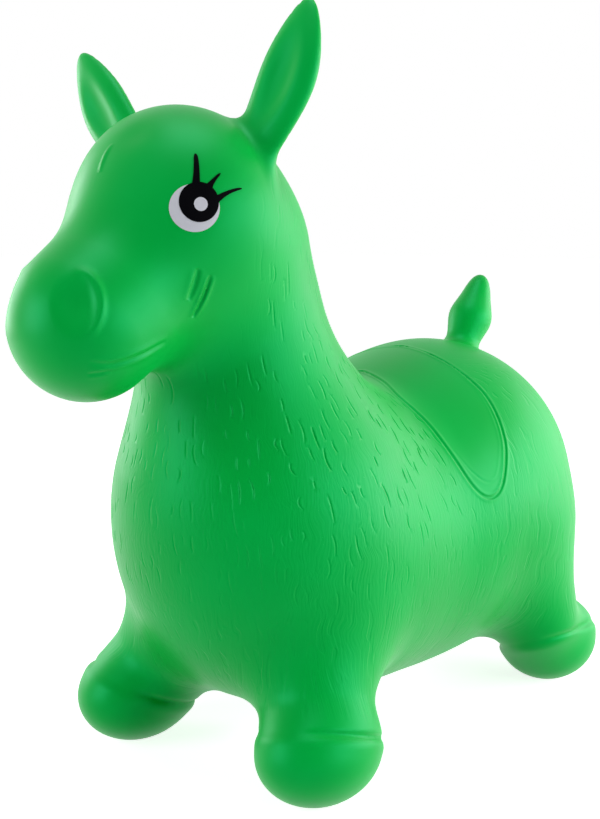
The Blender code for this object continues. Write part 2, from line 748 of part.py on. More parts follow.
def tail_planes():
    """The two seams of the tail's bending root."""
    along = tail_axes()[2]
    return (Plane(TAIL_SEAT + TAIL_SEAM_UP * along, along),
            Plane(TAIL_SEAT + (TAIL_SEAM_UP + TAIL_BAND) * along, along))


def body_hulls():
    """Rough hulls of the trunk, the lower neck, the legs and the hooves."""
    upright = np.eye(3)
    hulls = [
        ([(RUMP_CENTRE, RUMP_RADII)], upright),
        ([(BELLY_CENTRE, BELLY_RADII)], upright),
        ([(CHEST_CENTRE, CHEST_RADII)], upright),
        ([(CHEST_CENTRE, CHEST_RADII), (BELLY_CENTRE, even(CHEST_RADII[2] - RUMP_BLEND / 2))], upright),
        ([(NECK_BASE, even(NECK_BASE_RADIUS)), (NECK_TOP, even(NECK_TOP_RADIUS))], upright),
        tail_hulls()[0],
    ]
    for leg in LEGS.values():
        for sign in SIDES.values():
            seat, end = mirrored(leg.seat, sign), mirrored(leg.end, sign)
            hulls.append(([(seat, even(leg.top_radius)), (end, even(leg.end_radius))], upright))
            hulls.append(([(mirrored(leg.hoof, sign), leg.hoof_radii)], upright))
    return hulls


def bud_hulls(seat, axes, flat, length, radii, crest):
    """Rough hulls of a bud's lower and upper half."""
    low, middle, high = (vec(flat) * radius for radius in (*radii, radii[0] / 2))
    crest_point = seat + crest * length * axes[2]
    tip = seat + (length - high[2]) * axes[2]
    return [([(seat, low), (crest_point, middle)], axes), ([(crest_point, middle), (tip, high)], axes)]


def ear_hulls(side):
    """Rough hulls of an ear's lower and upper half."""
    return bud_hulls(mirrored(EAR_SEAT, SIDES[side]), ear_axes(side) * vec((SIDES[side], 1.0, 1.0)),
                     (1.0, EAR_THICKNESS_SHARE, 1.0), EAR_LENGTH,
                     (EAR_ROOT_RADIUS, EAR_SWELL_RADIUS), EAR_CREST_SHARE)


def tail_hulls():
    """Rough hulls of the tail's lower and upper half."""
    return bud_hulls(TAIL_SEAT, tail_axes(), even(1.0), TAIL_LENGTH,
                     (TAIL_ROOT_RADIUS, TAIL_SWELL_RADIUS), TAIL_CREST_SHARE)


def head_hulls():
    """Rough hulls of the upper neck, the cranium, the muzzle and the stubs of the ears."""
    upright = np.eye(3)
    return [
        ([(NECK_TOP, even(NECK_TOP_RADIUS)), (NECK_BASE, even(NECK_BASE_RADIUS))], upright),
        ([(CRANIUM, CRANIUM_RADII)], upright),
        ([(MUZZLE_ROOT, even(MUZZLE_ROOT_RADIUS)), (MUZZLE_TIP, even(MUZZLE_TIP_RADIUS))], upright),
        *(ear_hulls(side)[0] for side in SIDES),
    ]


def build_trunk():
    """The trunk, the neck's band, the legs and the hooves, all cut from one blank."""
    low, high = neck_planes()
    tail_low, _ = tail_planes()

    limits = [raised(high, SPARE / 2), raised(tail_low, SPARE / 2)]
    blank = hollow("body_blank", body_hulls(), limits, (BODY_CELL, BODY_LINING_CELL),
                   (BODY_KEEP_SHARE, BODY_LINING_KEEP_SHARE))
    torso = skin_piece("torso", blank, None)
    cut_beyond(torso, "cut_torso_neck", low, 0.0)
    cut_beyond(torso, "cut_torso_tail", tail_low, 0.0)
    groove(torso, "cut_torso_saddle", saddle_path(), SADDLE_GROOVE_RADIUS, closed=True)
    neck = skin_piece("neck", blank, None)
    keep_between(neck, "cut_neck_band", low, SEAM_GAP, NECK_BAND - SEAM_GAP)
    floor = Plane(vec((0.0, 0.0, 0.0)), vec((0.0, 0.0, -1.0)))
    for end, leg in LEGS.items():
        for side, sign in SIDES.items():
            name = f"{end}_{side}"
            cutter(f"cut_torso_{name}", foot_egg(leg, sign, 0.0), torso, "DIFFERENCE")
            limb = skin_piece(f"{name}_leg", blank, None)
            cutter(f"cut_{name}_leg_top", foot_egg(leg, sign, SEAM_GAP), limb, "INTERSECT")
            cutter(f"cut_{name}_leg_band", foot_drum(leg, sign, -SEAM_GAP), limb, "DIFFERENCE")
            stand = pivot_at(f"{name}_hoof_slide", mirrored(leg.hoof, sign) * vec((1.0, 1.0, 0.0)))
            hoof = skin_piece(f"{name}_hoof", blank, stand)
            cutter(f"cut_{name}_hoof", foot_drum(leg, sign, 0.0), hoof, "INTERSECT")
            cut_beyond(hoof, f"cut_{name}_sole", floor, 0.0)
    return torso


def build_head(neck_pivot):
    """The head with the stubs of its ears."""
    _, high = neck_planes()
    seams = {side: ear_planes(side)[0] for side in SIDES}

    neck_seam = turned_over(high)
    limits = [raised(plane, SPARE / 2) for plane in (neck_seam, *seams.values())]
    blank = hollow("head_blank", head_hulls(), limits, (HEAD_CELL, HEAD_LINING_CELL),
                   (HEAD_KEEP_SHARE, HEAD_LINING_KEEP_SHARE))
    head = skin_piece("head", blank, neck_pivot)
    cut_beyond(head, "cut_head_neck", neck_seam, 0.0)
    for side, seam in seams.items():
        cut_beyond(head, f"cut_head_{side}_ear", seam, 0.0)
        groove(head, f"cut_head_{side}_mouth", mouth_path(SIDES[side]), MOUTH_GROOVE_RADIUS, closed=False)


def build_ear(side, neck_pivot):
    """One ear: the bending root that grows from the head and the leaf that is pulled."""
    seam, top = ear_planes(side)

    limits = [raised(turned_over(seam), SPARE / 2)]
    blank = hollow(f"{side}_ear_blank", ear_hulls(side), limits,
                   (TWIG_CELL, TWIG_LINING_CELL), (TWIG_KEEP_SHARE, TWIG_LINING_KEEP_SHARE))
    root = skin_piece(f"{side}_ear_root", blank, neck_pivot)
    cut_beyond(root, f"cut_{side}_ear_root_low", turned_over(seam), -SEAM_GAP)
    cut_beyond(root, f"cut_{side}_ear_root_top", top, -SEAM_GAP)
    middle = ((seam.point + top.point) / 2 - seam.point) @ seam.normal
    along = top.normal
    height = EAR_BAND_TOP - middle / (along @ seam.normal)
    pivot = pivot_at(f"{side}_ear_hinge", mirrored(EAR_SEAT, SIDES[side]) + height * along, neck_pivot)
    leaf = skin_piece(f"{side}_ear", blank, pivot)
    cut_beyond(leaf, f"cut_{side}_ear", turned_over(top), 0.0)


def build_tail():
    """The tail: the bending root on the rump and the swinging rest."""
    low, high = tail_planes()

    limits = [raised(turned_over(low), SPARE / 2)]
    blank = hollow("tail_blank", tail_hulls(), limits, (TWIG_CELL, TWIG_LINING_CELL),
                   (TWIG_KEEP_SHARE, TWIG_LINING_KEEP_SHARE))
    root = skin_piece("tail_root", blank, None)
    keep_between(root, "cut_tail_root", low, SEAM_GAP, TAIL_BAND - SEAM_GAP)
    pivot = pivot_at("tail_hinge", (low.point + high.point) / 2)
    tail = skin_piece("tail", blank, pivot)
    cut_beyond(tail, "cut_tail", turned_over(high), 0.0)


def build_valve(torso):
    """The hole under the belly, the seat ring in it and the plug that closes it."""
    under = surface_point(BELLY_CENTRE, (0.0, 0.0, -1.0))[0]
    flange_edge = vec((VALVE_FLANGE_RADIUS, 0.0, 0.0))
    skirt = surface_point(vec(BELLY_CENTRE) + flange_edge, (0.0, 0.0, -1.0))[0]
    seat_low = skirt[2] - under[2] + WALL
    seat_high = seat_low + VALVE_FLANGE_THICKNESS
    bore, pocket = VALVE_NECK_RADIUS + SEAM_GAP, VALVE_FLANGE_RADIUS + SEAM_GAP
    hole = [(0.0, -SPARE), (bore, -SPARE), (bore, seat_low - SEAM_GAP),
            (pocket, seat_low - SEAM_GAP), (pocket, VALVE_LENGTH), (0.0, VALVE_LENGTH)]
    cutter("cut_torso_valve", turned(hole, under, ROUND_SEGMENTS), torso, "DIFFERENCE")
    profile = [(VALVE_BORE_RADIUS, 0.0), (VALVE_NECK_RADIUS, 0.0), (VALVE_NECK_RADIUS, seat_low),
               (VALVE_FLANGE_RADIUS, seat_low), (VALVE_FLANGE_RADIUS, seat_high),
               (VALVE_NECK_RADIUS, seat_high), (VALVE_NECK_RADIUS - PLUG_TAPER, VALVE_LENGTH),
               (VALVE_BORE_RADIUS, VALVE_LENGTH)]
    finish("valve_seat", turned(profile, under, ROUND_SEGMENTS), VALVE_WHITE, VALVE_ROUGHNESS)
    stem = VALVE_BORE_RADIUS - SEAM_GAP
    top = -SEAM_GAP
    base = top - PLUG_HEAD_THICKNESS
    profile = [(0.0, base), (PLUG_HEAD_RADIUS - PLUG_RIM, base), (PLUG_HEAD_RADIUS, base + PLUG_RIM),
               (PLUG_HEAD_RADIUS, top), (stem, top), (stem, VALVE_LENGTH),
               (stem - PLUG_TAPER, PLUG_LENGTH), (0.0, PLUG_LENGTH)]
    plug = finish("valve_plug", turned(profile, under, ROUND_SEGMENTS), VALVE_WHITE, VALVE_ROUGHNESS)
    hang(plug, pivot_at("valve_plug_slide", under))


def finish(name, bm, colour, roughness):
    """Makes a painted, smooth-shaded object of a finished bmesh."""
    mesh = bpy.data.meshes.new(name)
    bm.to_mesh(mesh)
    bm.free()
    obj = link(name, mesh)
    mesh.shade_smooth()
    mesh.set_sharp_from_angle(angle=math.radians(SHARP_ANGLE_DEG))
    paint(obj, colour, roughness)
    return obj


def eye_frame(sign):
    """The eye's place on the skin and its own directions: towards the nape, up and outwards."""
    centre, outward = surface_point(CRANIUM, mirrored(ray_by(EYE_TURN_DEG, EYE_RISE_DEG), sign))
    level = unit(np.cross((0.0, 0.0, sign), outward))
    return centre, level, np.cross(outward, level) * sign, outward


def laid_on_skin(flat, frame, height):
    """Flat eye coordinates carried onto the skin, at a height over it."""
    centre, level, up, outward = frame
    points = centre + flat[:, :1] * level + flat[:, 1:] * up

    def over(places):
        return horse_form(places) - height

    for _ in range(PUSH_STEPS):
        rise = over(points) / np.maximum(slope(over, points) @ outward, GRAZE_FLOOR_SHARE)
        points = points - rise[:, None] * outward
    return points


def paint_layer(name, flat, faces, frame, height, colour, pivot):
    """A thin coat of paint over the skin with the flat outline given."""
    mesh = bpy.data.meshes.new(name)
    low = laid_on_skin(flat, frame, height)
    high = laid_on_skin(flat, frame, height + PAINT)
    count = len(flat)
    used = {edge for face in faces for edge in zip(face, face[1:] + face[:1])}
    rim = sorted(edge for edge in used if edge[::-1] not in used)
    quads = [(a, b, b + count, a + count) for a, b in rim]
    tops = [tuple(index + count for index in face) for face in faces]
    bottoms = [tuple(reversed(face)) for face in faces]
    mesh.from_pydata(np.vstack((low, high)).tolist(), [], tops + bottoms + quads)
    bm = bmesh.new()
    bm.from_mesh(mesh)
    bmesh.ops.recalc_face_normals(bm, faces=bm.faces)
    bpy.data.meshes.remove(mesh)
    hang(finish(name, bm, colour, PAINT_ROUGHNESS), pivot)


def disc(centre, radii, rings, segments):
    """Points and faces of a round or oval disc: a hub and even rings."""
    turn = np.linspace(0.0, math.tau, segments, endpoint=False)
    circle = np.stack((np.cos(turn), np.sin(turn)), axis=1)
    rows = [vec(centre) + circle * vec(radii) * ring / rings for ring in range(1, rings + 1)]
    flat = np.vstack(([centre], *rows))
    faces = [(0, 1 + i, 1 + (i + 1) % segments) for i in range(segments)]
    for ring in range(rings - 1):
        start = 1 + ring * segments
        for i in range(segments):
            j = (i + 1) % segments
            faces.append((start + i, start + segments + i, start + segments + j, start + j))
    return flat, faces


def lashes(flat, faces, segments):
    """Grows three tapering lashes out of the rim of a disc."""
    rim_start = len(flat) - segments
    rows = [flat]
    count = len(flat)
    for start_deg, way_deg, length in zip(LASH_STARTS_DEG, LASH_WAYS_DEG, LASH_LENGTHS):
        first = rim_start + int(math.radians(start_deg) / math.tau * segments)
        last = (first, first + 1)
        root = (flat[first] + flat[first + 1]) / 2
        way = math.radians(way_deg)
        ray = vec((math.cos(way), math.sin(way)))
        side = vec((-math.sin(way), math.cos(way)))
        for step in range(1, LASH_STEPS + 1):
            share = step / LASH_STEPS
            width = LASH_ROOT_WIDTH + (LASH_TIP_WIDTH - LASH_ROOT_WIDTH) * share
            middle = root + ray * length * share
            rows.append(np.stack((middle - side * width / 2, middle + side * width / 2)))
            faces.append((last[0], count, count + 1, last[1]))
            last = (count, count + 1)
            count += 2
    return np.vstack(rows), faces


def build_eye(side, neck_pivot):
    """One eye: the white, the black pupil with its lashes and the glint."""
    frame = eye_frame(SIDES[side])
    height = PAINT_GAP
    flat, faces = disc((0.0, 0.0), EYE_WHITE_RADII, DISC_RINGS, ROUND_SEGMENTS)
    paint_layer(f"{side}_eye_white", flat, faces, frame, height, EYE_WHITE, neck_pivot)
    height += PAINT + PAINT_GAP
    pupil = vec((EYE_PUPIL_BACK, EYE_PUPIL_UP))
    flat, faces = disc(pupil, EYE_PUPIL_RADII, DISC_RINGS, ROUND_SEGMENTS)
    flat, faces = lashes(flat, faces, ROUND_SEGMENTS)
    paint_layer(f"{side}_eye_pupil", flat, faces, frame, height, EYE_BLACK, neck_pivot)
    height += PAINT + PAINT_GAP
    glint = pupil + vec((EYE_GLINT_BACK, -EYE_GLINT_DOWN))
    flat, faces = disc(glint, EYE_GLINT_RADII, 1, ROUND_SEGMENTS // 2)
    paint_layer(f"{side}_eye_glint", flat, faces, frame, height, EYE_WHITE, neck_pivot)


def main():
    for obj in list(bpy.data.objects):
        bpy.data.objects.remove(obj)
    low, high = neck_planes()
    neck_pivot = pivot_at("neck_hinge", (low.point + high.point) / 2)
    torso = build_trunk()
    build_head(neck_pivot)
    for side in SIDES:
        build_ear(side, neck_pivot)
        build_eye(side, neck_pivot)
    build_tail()
    build_valve(torso)


main()
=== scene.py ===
# %% [markdown]
# # A bouncing horse of blown soft PVC
#
# The toy is one thin skin, blown full of air. Its imported CAD parts give the joints and the size.
# The skin, the painted eyes and the air valve are made again, finely enough to be looked at
# closely. Chest, rump, head, eyes and valve ride on the CAD's bodies. All lengths are in metres.
# The nose points to -Y, the horse's left is +X and the floor is z = 0.

# %% Tools and the imported frame
import math

import bpy
import numpy as np
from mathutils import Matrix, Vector


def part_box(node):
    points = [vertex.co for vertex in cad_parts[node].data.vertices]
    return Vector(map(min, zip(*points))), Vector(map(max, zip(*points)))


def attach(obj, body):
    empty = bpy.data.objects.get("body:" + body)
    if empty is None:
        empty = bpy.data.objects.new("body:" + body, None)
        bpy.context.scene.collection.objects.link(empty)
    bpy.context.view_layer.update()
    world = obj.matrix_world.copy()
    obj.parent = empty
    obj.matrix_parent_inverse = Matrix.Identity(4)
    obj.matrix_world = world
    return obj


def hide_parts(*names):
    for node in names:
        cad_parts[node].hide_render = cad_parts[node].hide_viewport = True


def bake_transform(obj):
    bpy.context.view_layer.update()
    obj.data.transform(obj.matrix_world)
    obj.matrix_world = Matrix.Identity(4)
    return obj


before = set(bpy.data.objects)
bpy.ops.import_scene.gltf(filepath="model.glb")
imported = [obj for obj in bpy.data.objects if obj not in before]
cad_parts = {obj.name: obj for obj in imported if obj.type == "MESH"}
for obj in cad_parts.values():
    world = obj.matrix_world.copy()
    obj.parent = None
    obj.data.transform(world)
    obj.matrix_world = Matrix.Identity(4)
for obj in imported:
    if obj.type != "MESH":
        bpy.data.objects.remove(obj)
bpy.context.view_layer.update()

# %% [markdown]
# ## The camera
#
# The camera comes first, so that every piece can be checked against the view it was drawn for.
# It stands well to one side and a little above the toy's eye level. Its place is written as a
# distance and two angles from a point in the toy's middle.

# %% Camera
VIEW_TARGET = (-0.0064, -0.0083, 0.2481)
VIEW_AROUND, VIEW_ABOVE = 0.6926, 0.1441
VIEW_DISTANCE = 0.9689
LENS_MM, FILM_MM = 56.24, 36.0


def direction(around, above):
    """The way out at two angles: round the upright axis from -Y, and up from level."""
    return np.array((math.sin(around) * math.cos(above), -math.cos(around) * math.cos(above),
                     math.sin(above)))


def put(name, data):
    """A new object with this data, linked into the scene."""
    obj = bpy.data.objects.new(name, data)
    bpy.context.scene.collection.objects.link(obj)
    return obj


lens = bpy.data.cameras.new("camera")
lens.lens, lens.sensor_width, lens.sensor_fit = LENS_MM, FILM_MM, "AUTO"
lens.clip_start, lens.clip_end = 0.01, 100.0
camera = put("camera", lens)
camera.location = np.array(VIEW_TARGET) + VIEW_DISTANCE * direction(VIEW_AROUND, VIEW_ABOVE)
camera.rotation_euler = (math.pi / 2 - VIEW_ABOVE, 0.0, VIEW_AROUND)
bpy.context.scene.camera = camera
bpy.context.scene.view_settings.view_transform = "Standard"
print("camera at", [round(value, 3) for value in camera.location])

# %% [markdown]
# ## The blown form
#
# Air pushes a soft skin into balls and rounded tubes that run into each other with wide fillets.
# Rings lofted along a trunk with four legs would meet badly. So the form is a field: a function
# of the point in space that is negative inside the toy and zero on its skin. Chambers are added
# one by one, each with its own fillet.

# %% Building blocks of the form
def vec(values):
    """The values as an array of numbers."""
    return np.array(values, dtype=float)


def unit(values):
    """The same direction with length one."""
    return vec(values) / np.linalg.norm(values)


def lengths(vectors):
    """The length of each vector."""
    return np.linalg.norm(vectors, axis=1)


def ball(points, centre, radii):
    """A stretched ball: the scaled distance from the centre less one, made roughly a length."""
    offset = points - vec(centre)
    scaled = lengths(offset / vec(radii)) + 1e-9
    steep = lengths(offset / vec(radii) ** 2) + 1e-9
    return scaled * (scaled - 1.0) / steep


def tube(points, start, end, start_radius, end_radius, narrow=1.0):
    """A rounded tube: two balls and the cone that wraps them, narrowed sideways by a share."""
    squeeze = vec((1.0 / narrow, 1.0, 1.0))
    offset = (points - vec(start)) * squeeze
    axis = (vec(end) - vec(start)) * squeeze
    length2 = axis @ axis
    drop = start_radius - end_radius
    slant2 = length2 - drop * drop
    along = offset @ axis
    past = along - length2
    side2 = ((offset * length2 - along[:, None] * axis) ** 2).sum(axis=1)
    limit = np.sign(drop) * drop * drop * side2
    at_end = np.sqrt(side2 + past * past * length2) / length2 - end_radius
    at_start = np.sqrt(side2 + along * along * length2) / length2 - start_radius
    flank = (np.sqrt(side2 * slant2 / length2) + along * drop) / length2 - start_radius
    low = np.where(np.sign(along) * slant2 * along * along * length2 < limit, at_start, flank)
    return np.where(np.sign(past) * slant2 * past * past * length2 > limit, at_end, low) * narrow


def melted(first, second, reach):
    """Both forms together, with a fillet where they come within reach of each other."""
    overlap = np.maximum(reach - np.abs(first - second), 0.0) / reach
    return np.minimum(first, second) - overlap * overlap * reach / 4


# %% Chambers of the horse
BELLY, BELLY_RADII = vec((0.0, 0.0545, 0.1440)), (0.1130, 0.1490, 0.1155)
RUMP, RUMP_RADII = vec((0.0, 0.1495, 0.1665)), (0.1235, 0.1230, 0.1250)
CHEST, CHEST_RADII = vec((0.0, -0.0600, 0.1620)), (0.1100, 0.1025, 0.1170)
NECK_LOW, NECK_HIGH = vec((0.0, -0.0720, 0.2235)), vec((0.0, -0.0995, 0.3625))
NECK_RADII = (0.0795, 0.0630)
CRANIUM, CRANIUM_RADII = vec((0.0, -0.1430, 0.3945)), (0.0720, 0.0640, 0.0690)
MUZZLE_ROOT, MUZZLE_TIP = vec((0.0, -0.1370, 0.3835)), vec((0.0, -0.2225, 0.3275))
MUZZLE_RADII = (0.0555, 0.0500)
TAIL_SEAT = RUMP + vec(RUMP_RADII) * vec((0.0, 0.3815, 0.818))
LEGS = {
    "front": dict(seat=vec((0.05104, -0.06103, 0.11052)), end=vec((0.07854, -0.09203, 0.05502)),
                  radii=(0.0475, 0.0380), hoof=vec((0.08904, -0.10303, 0.0350)),
                  hoof_radii=(0.0400, 0.0490, 0.0365), axis=vec((0.22811, -0.33300, -0.91492)),
                  band=vec((0.08406, -0.09792, 0.04392)), out=vec((0.600, -0.350, -0.720))),
    "rear": dict(seat=vec((0.06546, 0.16697, 0.1325)), end=vec((0.09246, 0.18347, 0.0590)),
                 radii=(0.0560, 0.0355), hoof=vec((0.08796, 0.21197, 0.0355)),
                 hoof_radii=(0.0410, 0.0445, 0.0370), axis=vec((0.34184, -0.03280, -0.93919)),
                 band=vec((0.09185, 0.19756, 0.04274)), out=vec((0.600, 0.300, -0.740))),
}
SIDES = {"left": 1.0, "right": -1.0}
EAR_SEAT = CRANIUM + vec(CRANIUM_RADII) * vec((0.580, 0.2815, 0.386))
EAR_LEAN_DEG = {"left": 19.0, "right": 42.0}
EAR_PITCH_DEG = {"left": -12.5, "right": -2.8}
EAR_YAW_DEG = 1.0
# How far from each other two chambers still melt together
MELT = {"rump": 0.050, "chest": 0.060, "neck": 0.060, "muzzle": 0.030, "head": 0.035,
        "ears": 0.012, "hoof": 0.012, "leg": 0.030, "tail": 0.012}
NECK_NARROW, MUZZLE_NARROW = 0.92, 0.96
print("trunk from", np.round(CHEST, 3).tolist(), "to", np.round(RUMP, 3).tolist())

# %% [markdown]
# ## Ears and tail
#
# The ears are the handles. Each is a flat leaf, fullest in its upper third, with a long hollow in
# its front face. They are soft, so the right one hangs further out. The tail is the same kind of
# bud but round. One profile from root to tip keeps the outline free of waists and knobs.

# %% Ears and tail
# A bud's length, its radius at the root and at the crest, the crest's place and spread, its power
EAR_BUD = (0.1158, 0.0169, 0.0242, 0.646, 0.339, 3.2)
TAIL_BUD = (0.0839, 0.0141, 0.0192, 0.516, 0.187, 5.2)
EAR_FLAT, EAR_BOW, TAIL_BOW = 0.44, 0.0061, 0.0019
DISH_PLACE, DISH_RADII = (0, 0.0055 - 0.0242 * EAR_FLAT - 0.0080, 0.0640), (0.0130, 0.0080, 0.0400)
DISH_MELT = 0.004
TAIL_TILT = math.radians(29.3)
TAIL_UP = vec((0, math.sin(TAIL_TILT), math.cos(TAIL_TILT)))


def plane_turn(degrees, first, second):
    """A turn by this angle in the plane of two axes."""
    turn = np.eye(3)
    turn[first, first] = turn[second, second] = math.cos(math.radians(degrees))
    turn[first, second] = math.sin(math.radians(degrees))
    turn[second, first] = -turn[first, second]
    return turn


def ear_directions(side):
    """Rows are the left-hand ear's directions across, through and along the leaf."""
    return (plane_turn(EAR_YAW_DEG, 0, 1) @ plane_turn(EAR_PITCH_DEG[side], 1, 2)
            @ plane_turn(-EAR_LEAN_DEG[side], 0, 2))


def in_ear(points, side):
    """The points seen from the ear's root: across, through and along the leaf."""
    return (points * vec((SIDES[side], 1.0, 1.0)) - EAR_SEAT) @ ear_directions(side).T


def bud(points, length, root, swell, crest, spread, power):
    """A bud along Z: its radius is the root's plus a bell round the crest, and closes at the tip
    as the square root of one less the height's power."""
    share = points[:, 2] / length
    full = root + (swell - root) * np.exp(-((share - crest) / spread) ** 2)
    wide2 = points[:, 0] ** 2 + points[:, 1] ** 2
    side = wide2 - full ** 2 * (1.0 - np.sign(share) * np.abs(share) ** power)
    return np.maximum(side / np.sqrt(2.0 * (wide2 + full ** 2)), -root - points[:, 2])


def bowed(points, way, height, length):
    """The points moved back by half a wave, which bows the form's middle to one side."""
    share = np.clip(points[:, 2] / length, 0, 1)
    return points - height * np.sin(np.pi * share)[:, None] * vec(way)


def ear(points, side):
    """A flattened bud, less a long ball pressed into its front face."""
    local = bowed(in_ear(points, side), (1, 0, 0), EAR_BOW, EAR_BUD[0])
    leaf = bud(local / vec((1.0, EAR_FLAT, 1.0)), *EAR_BUD) * math.sqrt(EAR_FLAT)
    return -melted(-leaf, ball(local, DISH_PLACE, DISH_RADII), DISH_MELT)


def tail(points):
    """A round bud, bowed a little to the rear."""
    local = (points - TAIL_SEAT) @ np.stack(((1, 0, 0), np.cross(TAIL_UP, (1, 0, 0)), TAIL_UP)).T
    return bud(bowed(local, (0, 1, 0), TAIL_BOW, TAIL_BUD[0]), *TAIL_BUD)


def folded(points):
    """The points with the right half turned over onto the left one."""
    half = points.copy()
    half[:, 0] = np.abs(half[:, 0])
    return half


def horse(points):
    """The whole skin: every chamber melted into its neighbour."""
    half = folded(points)
    form = ball(half, BELLY, BELLY_RADII)
    form = melted(form, ball(half, RUMP, RUMP_RADII), MELT["rump"])
    form = melted(form, ball(half, CHEST, CHEST_RADII), MELT["chest"])
    neck = tube(half, NECK_LOW, NECK_HIGH, *NECK_RADII, NECK_NARROW)
    form = melted(form, neck, MELT["neck"])
    muzzle = tube(half, MUZZLE_ROOT, MUZZLE_TIP, *MUZZLE_RADII, MUZZLE_NARROW)
    head = melted(ball(half, CRANIUM, CRANIUM_RADII), muzzle, MELT["muzzle"])
    form = melted(form, head, MELT["head"])
    form = melted(form, np.minimum(ear(points, "left"), ear(points, "right")), MELT["ears"])
    for leg in LEGS.values():
        limb = tube(half, leg["seat"], leg["end"], *leg["radii"])
        hoof = ball(half, leg["hoof"], leg["hoof_radii"])
        form = melted(form, melted(limb, hoof, MELT["hoof"]), MELT["leg"])
    form = melted(form, tail(points), MELT["tail"])
    return np.maximum(form, -points[:, 2])


# %% [markdown]
# ## What is pressed into the skin
#
# The mould carries the saddle's double outline, a crease over each hoof, nostrils, a mouth, smile
# creases, a fold at the brow and the valve's bed. They are small pushes in or out of the blown
# form: a second field that is added to the first. Lines are smooth curves through a few points.

# %% Lines, dents and bands
def smooth_line(points, closed=False, steps=8):
    """A curve through the points: between two, a cubic that also leans on their neighbours."""
    knots = vec(points)
    if closed:
        knots = np.vstack((knots[-1:], knots, knots[:2]))
    else:
        knots = np.vstack((2 * knots[:1] - knots[1:2], knots, 2 * knots[-1:] - knots[-2:-1]))
    t = np.linspace(0.0, 1.0, steps, endpoint=False)[None, :, None]
    a, b, c, d = (knots[i:len(knots) - 3 + i, None, :] for i in range(4))
    cubic = t * (1.5 * (b - c) + (d - a) / 2)
    curve = b + t * ((c - a) / 2 + t * (a - 2.5 * b + 2 * c - d / 2 + cubic))
    curve = curve.reshape(-1, 3)
    return curve if closed else np.vstack((curve, knots[-2:-1]))


def beside(points, line, closed=False):
    """Each point's distance from a curve of straight stretches, and how far along it is."""
    start = line if closed else line[:-1]
    step = np.roll(line, -1, axis=0) - line if closed else line[1:] - line[:-1]
    length2 = np.maximum((step ** 2).sum(axis=1), 1e-14)
    along = np.einsum("nki,ki->nk", points[:, None] - start[None], step)
    share = np.clip(along / length2, 0.0, 1.0)
    gap = np.linalg.norm(points[:, None] - start[None] - share[..., None] * step[None], axis=2)
    nearest = gap.argmin(axis=1)
    row = np.arange(len(points))
    return gap[row, nearest], (nearest + share[row, nearest]) / len(start)


def bell(distance, width):
    """One on the line and near zero two widths away from it."""
    return np.exp(-(distance / width) ** 2)


def soft_step(low, high, values):
    """Zero below low, one above high, and a smooth ramp between."""
    share = np.clip((values - low) / (high - low), 0.0, 1.0)
    return share * share * (3 - 2 * share)


SADDLE_EDGE = smooth_line((
    (0, 0.0613, 0.2715), (0.0270, 0.0515, 0.2670), (0.0500, 0.0419, 0.2570),
    (0.0740, 0.0433, 0.2400), (0.0938, 0.0463, 0.2183), (0.1075, 0.0544, 0.1953),
    (0.1139, 0.0669, 0.1842), (0.1160, 0.0829, 0.1890), (0.1096, 0.0990, 0.2143),
    (0.0993, 0.1065, 0.2341), (0.0834, 0.1111, 0.2534), (0.0670, 0.1110, 0.2658),
    (0.0359, 0.1115, 0.2804), (0, 0.1151, 0.2873)))
SADDLE_WELT = smooth_line((
    (0.0930, 0.0510, 0.2195), (0.1040, 0.0590, 0.2040), (0.1115, 0.0700, 0.1955),
    (0.1140, 0.0820, 0.1985), (0.1085, 0.0957, 0.2190), (0.0983, 0.1033, 0.2355),
    (0.0825, 0.1081, 0.2550), (0.0665, 0.1083, 0.2675), (0.0400, 0.1086, 0.2795)))
MOUTH = smooth_line((
    (0.0342, -0.2513, 0.3068), (0.0400, -0.2394, 0.3051), (0.0445, -0.2235, 0.3083),
    (0.0442, -0.2066, 0.3130), (0.0431, -0.1962, 0.3158)))
SMILES = [smooth_line(line) for line in (
    ((0.0573, -0.1820, 0.3603), (0.0546, -0.1829, 0.3505), (0.0513, -0.1849, 0.3407)),
    ((0.0590, -0.1732, 0.3558), (0.0534, -0.1747, 0.3422), (0.0470, -0.1772, 0.3297)))]
CHIN_CREASE = smooth_line((
    (0.0300, -0.2492, 0.2993), (0.0344, -0.2440, 0.2997), (0.0385, -0.2375, 0.3012)))
BROW_FOLD = smooth_line((
    (-0.0040, -0.1945, 0.4365), (-0.0050, -0.1985, 0.4310), (-0.0046, -0.2025, 0.4250),
    (-0.0032, -0.2065, 0.4185)))
# Each line with its half width, its depth and the height of the low welt beside it
PRESSED = ((SADDLE_EDGE, 0.0010, 0.0010, 0.0003), (SADDLE_WELT, 0.0009, 0.0003, 0.0001),
           (MOUTH, 0.0015, 0.0007, 0.0005), (CHIN_CREASE, 0.0012, 0.0005, 0.0003),
           (SMILES[0], 0.0017, 0.0017, 0.0003), (SMILES[1], 0.0012, 0.0021, 0.0007))
FOLDS = ((BROW_FOLD, 0.0017, -0.0009, 0.0),)
WELT_PLACE, WELT_WIDTH = 2.2, 1.4
BROW_DENT, DENT_DEPTH, DENT_WIDTH = vec((0.0109, -0.1887, 0.4420)), 0.0012, 0.011
NOSTRIL, NOSTRIL_OUT = vec((0.0319, -0.2575, 0.3420)), unit((0.68, -0.68, 0.26))
NOSTRIL_SIZE, BOWL_DEPTH = (0.0128, 0.0170), 0.0040
RIM_HEIGHT, RIM_RING, RIM_WIDTH = 0.0013, 1.18, 0.17
LEG_REACH, HOOF_HALF = 0.075, 0.034
CREASE_DEPTH, CREASE_PLACE, CREASE_WIDTH, CREASE_LEAST = 0.0017, 0.0020, 0.0024, 0.06
HOOF_LIFT, LIFT_PLACE, LIFT_WIDTH = 0.0005, 0.0085, 0.0040
SEAT_DEPTH, SEAT_RADII, UNDERSIDE = 0.0007, (0.0092, 0.0114), 0.050


